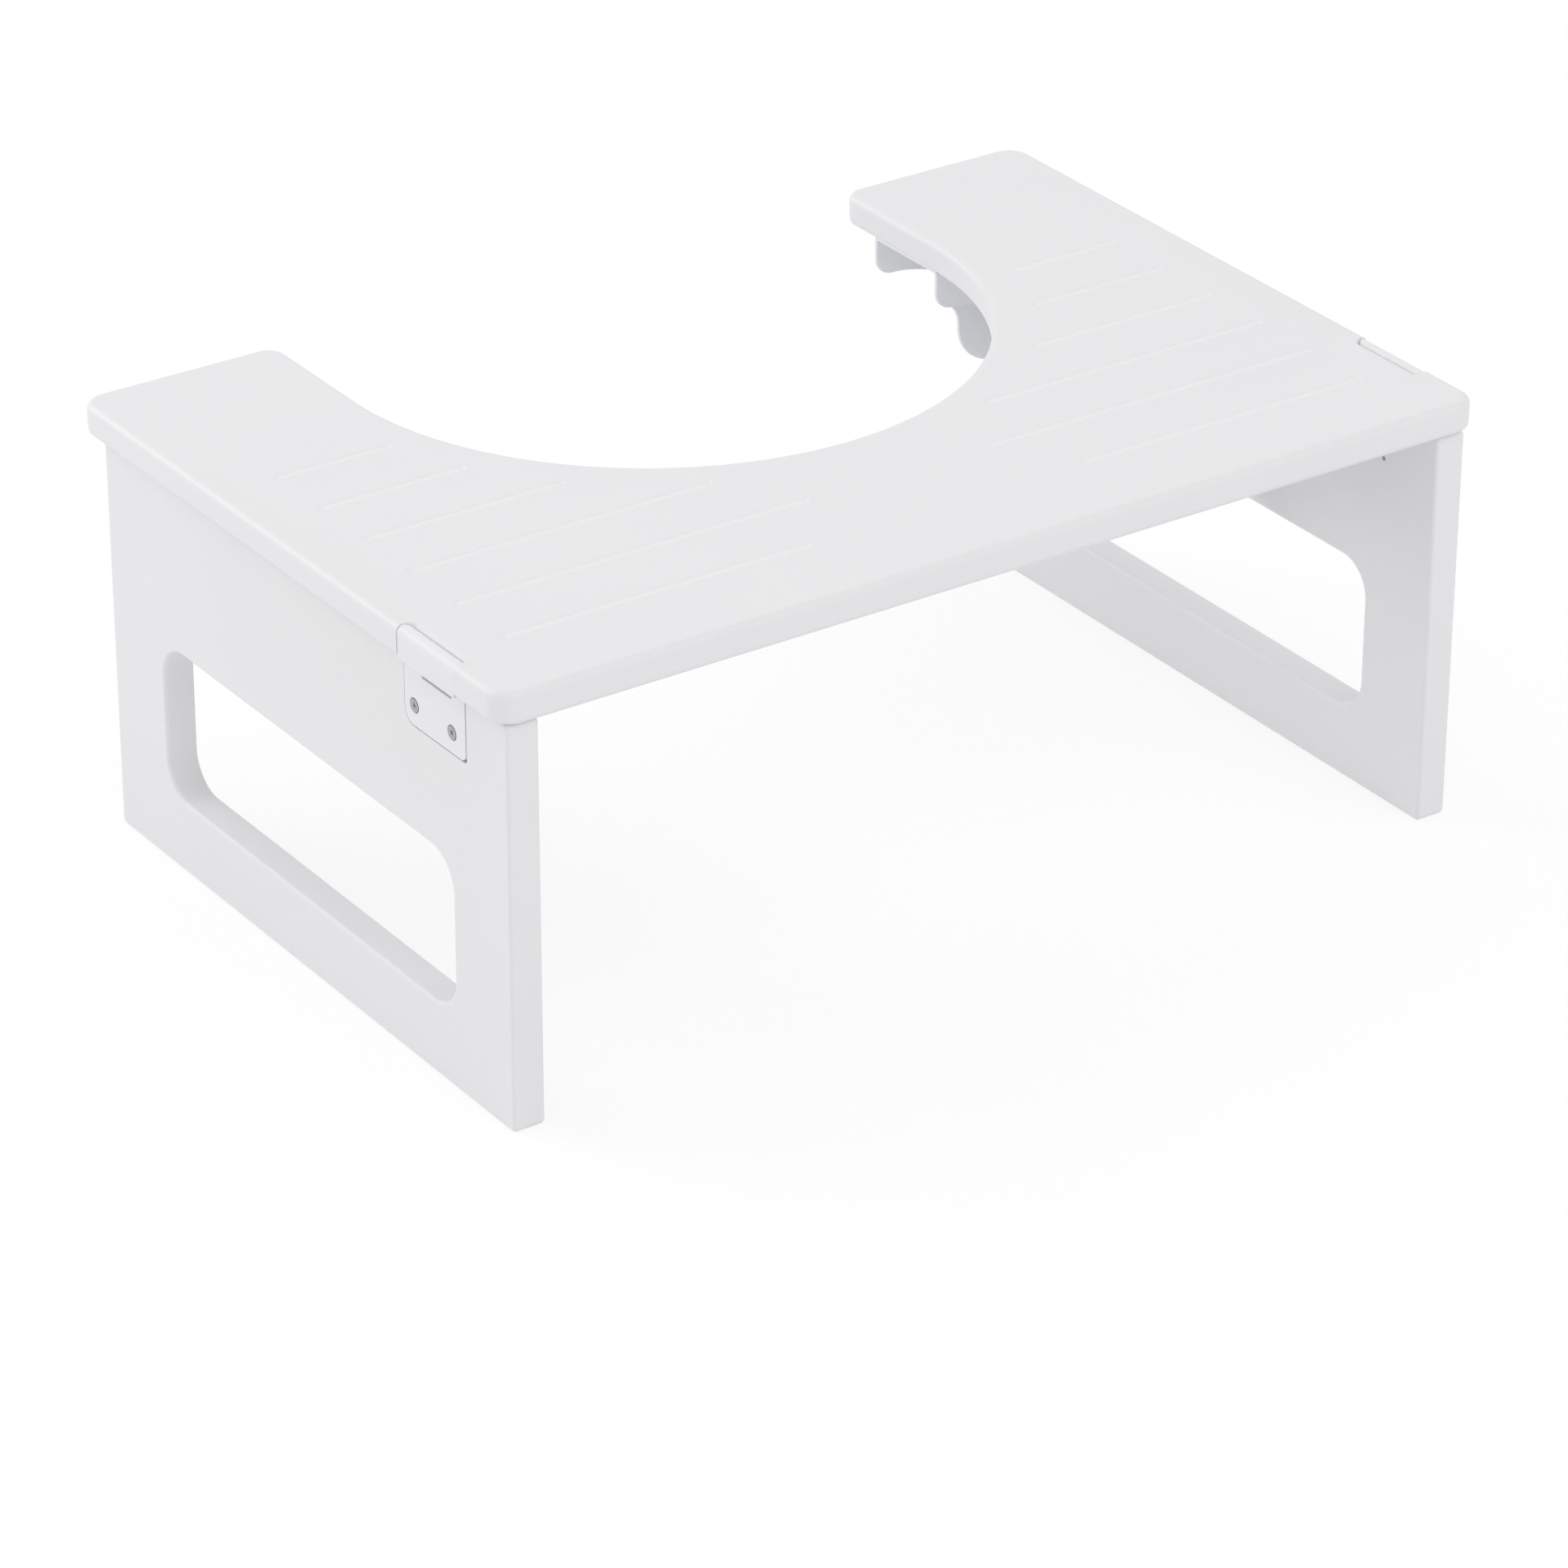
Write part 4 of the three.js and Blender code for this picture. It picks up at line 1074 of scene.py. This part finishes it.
# Leg plates: a thin moulded plate let flush into the outer face of each leg, under the edge cap.
# It is notched at the top and held by two small countersunk screws.
plate_screw_share = 0.77
plate_screw_gap = 0.0002
plate_front_corner = 0.003
plate_rear_corner = 0.006
plate_edge = 0.0003
plate_top = leg_top - fit_gap
plate_hole = plate_screw_share * screw_head / 2 + plate_screw_gap
for side, name in sides:
    plan = (arc(plate_front + plate_front_corner, plate_bottom + plate_front_corner, plate_front_corner,
                180, 270, 8)
            + arc(plate_rear - plate_rear_corner, plate_bottom + plate_rear_corner, plate_rear_corner,
                  270, 360, 14)
            + [(plate_rear, plate_top), (plate_notch_rear, plate_top),
               (plate_notch_rear, plate_notch_bottom), (plate_notch_front, plate_notch_bottom),
               (plate_notch_front, plate_top), (plate_front, plate_top)])
    holes = [clockwise(ring(y, plate_screw_height, plate_hole, 32)) for y in plate_screws]
    moulded = slab(plan, holes, 0, plate_thickness, plate_edge, 3)
    plate = new_piece(f"{name}_moulded_plate", across_x(moulded, leg_outer - plate_thickness, side))
    coat(plate, 0, white_nylon)
    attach(plate, f"{name}_leg")
    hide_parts(f"{name}_leg_plate")


# Screws: countersunk steel wood screws with a cross recess and a dull zinc finish. Two hold each
# table channel under the top, two each leg channel to its leg, and two each leg plate.
screw_sizes = {"Head Diameter": screw_head, "Head Height": 0.0017, "Shank Diameter": 0.0034,
               "Length": 0.0115, "Tip": 0.0026, "Recess Span": 0.0038, "Recess Width": 0.0009,
               "Recess Depth": 0.0012, "Sides": 32, "Seed": 4}
plate_screw_sizes = {size: value if isinstance(value, int) else value * plate_screw_share
                     for size, value in screw_sizes.items()}
screw_point = 0.35
recess_taper = (0.45, 0.45, 1.0)
screw_light = (0.46, 0.465, 0.48, 1)
screw_dark = (0.33, 0.335, 0.35, 1)


def screw_tree():
    """A countersunk screw with its face at the point and its head towards the point's aim."""
    tree, given = geometry_tree("Countersunk screw", screw_sizes)
    head_radius = half_of(tree, given["Head Diameter"])
    shank_radius = half_of(tree, given["Shank Diameter"])
    head = taper(tree, given, shank_radius, head_radius, given["Head Height"], "Bottom")
    head = at_height(tree, head, minus(tree, given["Head Height"]))
    blades = []
    for size in ("XY", "YX"):
        span = add_node(tree, "ShaderNodeCombineXYZ", {
            size[0]: given["Recess Span"], size[1]: given["Recess Width"],
            "Z": calculate(tree, "MULTIPLY", given["Recess Depth"], 2.0)})
        blades.append(add_node(tree, "GeometryNodeMeshCube", {"Size": span.outputs[0]}).outputs["Mesh"])
    where = tree.nodes.new("GeometryNodeInputPosition").outputs[0]
    height = add_node(tree, "ShaderNodeSeparateXYZ", {"Vector": where}).outputs["Z"]
    lower = add_node(tree, "FunctionNodeCompare", {"A": height, "B": 0.0}, operation="LESS_THAN")
    narrow = add_node(tree, "ShaderNodeVectorMath", {0: where, 1: recess_taper}, operation="MULTIPLY")
    cross = add_node(tree, "GeometryNodeSetPosition", {
        "Geometry": joined(tree, *blades), "Selection": lower.outputs[0], "Position": narrow.outputs[0]})
    straight = calculate(tree, "SUBTRACT", calculate(
        tree, "SUBTRACT", given["Length"], given["Head Height"]), given["Tip"])
    shank = rod(tree, given, shank_radius, straight)
    shank_middle = minus(tree, calculate(tree, "ADD", given["Head Height"], half_of(tree, straight)))
    tip = taper(tree, given, calculate(tree, "MULTIPLY", shank_radius, screw_point), shank_radius,
                given["Tip"], "Top")
    tip = at_height(tree, tip, minus(tree, given["Length"]))
    body = merged(tree, joined(tree, head, at_height(tree, shank, shank_middle), tip))
    recessed = add_node(tree, "GeometryNodeMeshBoolean", {
        "Mesh 1": body, "Mesh 2": cross.outputs["Geometry"], "Self Intersection": True},
        operation="DIFFERENCE", solver="EXACT")
    aim = add_node(tree, "GeometryNodeInputNamedAttribute", {"Name": "aim"}, data_type="FLOAT_VECTOR")
    aligned = add_node(tree, "FunctionNodeAlignRotationToVector", {
        "Vector": aim.outputs["Attribute"]}, axis="Z")
    quarter_turn = {3: math.pi / 2}
    turn = add_node(tree, "FunctionNodeRandomValue", {"Seed": given["Seed"], **quarter_turn},
                    data_type="FLOAT")
    spin = add_node(tree, "FunctionNodeAxisAngleToRotation", {
        "Axis": (0, 0, 1), "Angle": turn.outputs[1]})
    turned = add_node(tree, "FunctionNodeRotateRotation", {
        "Rotation": aligned.outputs["Rotation"], "Rotate By": spin.outputs["Rotation"]},
        rotation_space="LOCAL")
    set_out(tree, given, recessed.outputs["Mesh"], turned.outputs["Rotation"])
    return tree


dull_zinc = plated("dull_zinc", screw_light, screw_dark, roughness=0.46, metallic=0.75)
countersunk = screw_tree()
web_bottom = pivot_z + table_back - sheet
web_inside = leg_back_face - sheet
top_screws = [(side * (pivot_x - reach), y, web_bottom) for side, _ in sides
              for _, y, _ in bracket_places for reach in table_screws]
held = [("top_screws", "stool_top", screw_sizes, top_screws, (0, 0, -1),
         [f"{side}_{place}_table_screw_{end}" for side in ("left", "right")
          for place, _, _ in bracket_places for end in ("outer", "inner")])]
for side, name in sides:
    inner = [(side * (pivot_x + web_inside), y, pivot_z - drop) for _, y, _ in bracket_places
             for drop in leg_screws]
    outer = [(side * leg_outer, y, plate_screw_height) for y in plate_screws]
    held.append((f"{name}_leg_screws", f"{name}_leg", screw_sizes, inner, (-side, 0, 0),
                 [f"{name}_{place}_leg_screw_{end}" for place, _, _ in bracket_places
                  for end in ("upper", "lower")]))
    held.append((f"{name}_plate_screws", f"{name}_leg", plate_screw_sizes, outer, (side, 0, 0),
                 [f"{name}_plate_screw_{end}" for end in ("front", "rear")]))
for name, body, sizes, places, aim, nodes in held:
    screws = run_tree(name, countersunk, places, sizes, dull_zinc, aim)
    smooth(screws)
    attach(screws, body)
    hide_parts(*nodes)


# Where the stool stands: a pale floor that keeps its shadow, an even white sky, and large soft
# lamps behind it, in front and to both sides, as round a product table.
floor_size = 9.0
floor_shade = (0.94, 0.94, 0.945, 1)
floor_white = 1.04
floor_glow = 0.72
sky_strength = 0.755
lamps = (("rear", (-0.40, 0.50, 0.77), 2.8, (1.6, 1.6), 9.0),
         ("rear low", (-0.50, 0.80, 0.33), 2.8, (1.6, 1.0), 13.0),
         ("front", (0.10, -0.62, 0.78), 2.7, (1.8, 1.6), 10.0),
         ("side", (-0.75, -0.62, 0.22), 2.8, (1.8, 0.9), 2.4),
         ("right", (0.60, -0.70, 0.35), 2.8, (1.6, 1.0), 3.4))


def seen_ray(tree):
    """1 where the camera sees the surface, by itself or in a reflection, and 0 for its light."""
    path = tree.nodes.new("ShaderNodeLightPath")
    return calculate(tree, "MAXIMUM", path.outputs["Is Camera Ray"], calculate(
        tree, "MAXIMUM", path.outputs["Is Glossy Ray"], path.outputs["Is Transmission Ray"]))


def seen_white(tree, lit, kind, strength, share, end):
    """What is lit as it is, but shown to the camera as an even white."""
    white = add_node(tree, kind, {"Color": (1, 1, 1, 1), "Strength": strength})
    both = add_node(tree, "ShaderNodeMixShader", {
        "Fac": calculate(tree, "MULTIPLY", seen_ray(tree), share), 1: lit, 2: white.outputs[0]})
    tree.links.new(both.outputs["Shader"], tree.nodes[end].inputs["Surface"])


floor_corners = [(x * floor_size, y * floor_size, 0) for x, y in ((-1, -1), (1, -1), (1, 1), (-1, 1))]
floor = new_piece("floor", (floor_corners, [(0, 1, 2, 3)]))
floor_paint, tree, shader, coordinates = finish_material("floor_paint", roughness=0.7, specular=0.2)
fill(tree, shader, {"Base Color": floor_shade})
seen_white(tree, shader.outputs["BSDF"], "ShaderNodeEmission", floor_white, floor_glow,
           "Material Output")
floor.data.materials.append(floor_paint)

world = bpy.data.worlds.new("studio")
world.use_nodes = True
tree = world.node_tree
sky = tree.nodes["Background"]
fill(tree, sky, {"Color": (1, 1, 1, 1), "Strength": sky_strength})
seen_white(tree, sky.outputs["Background"], "ShaderNodeBackground", 1.0, 1.0, "World Output")
bpy.context.scene.world = world

aimed_at = Vector((0, 0, 0.12))
for name, direction, distance, size, power in lamps:
    light = bpy.data.lights.new(name, "AREA")
    light.shape = "RECTANGLE"
    light.size, light.size_y = size
    light.energy = power
    lamp = into_scene(name, light)
    away = Vector(direction).normalized()
    lamp.location = aimed_at + away * distance
    lamp.rotation_euler = (-away).to_track_quat("-Z", "Y").to_euler()


# The camera: a long lens above and to the left of the front, turned as the photograph was taken.
# Its place was fitted to the straight edges in the photograph.
focal_pixels = 8201.909
picture_width = 1932
turn, rise, roll = (math.radians(a) for a in (-34.56722, 28.23460, 0.16355))
distance = 2.5520
aside = (-0.001963, -0.067195)
looked_at = Vector((0, 0, 0.089))
back = Vector((math.sin(turn) * math.cos(rise), -math.cos(turn) * math.cos(rise), math.sin(rise)))
right = Vector((0, 0, 1)).cross(back).normalized()
up = back.cross(right)
level_right = math.cos(roll) * right + math.sin(roll) * up
level_up = math.cos(roll) * up - math.sin(roll) * right
lens = bpy.data.cameras.new("camera")
lens.sensor_width = 36
lens.lens = focal_pixels / picture_width * lens.sensor_width
lens.clip_end = 30
camera = into_scene("camera", lens)
place = looked_at + back * distance - level_right * aside[0] + level_up * aside[1]
turned = Matrix((level_right, level_up, back)).transposed().to_4x4()
camera.matrix_world = Matrix.Translation(place) @ turned
bpy.context.scene.camera = camera
bpy.context.scene.view_settings.view_transform = "Standard"
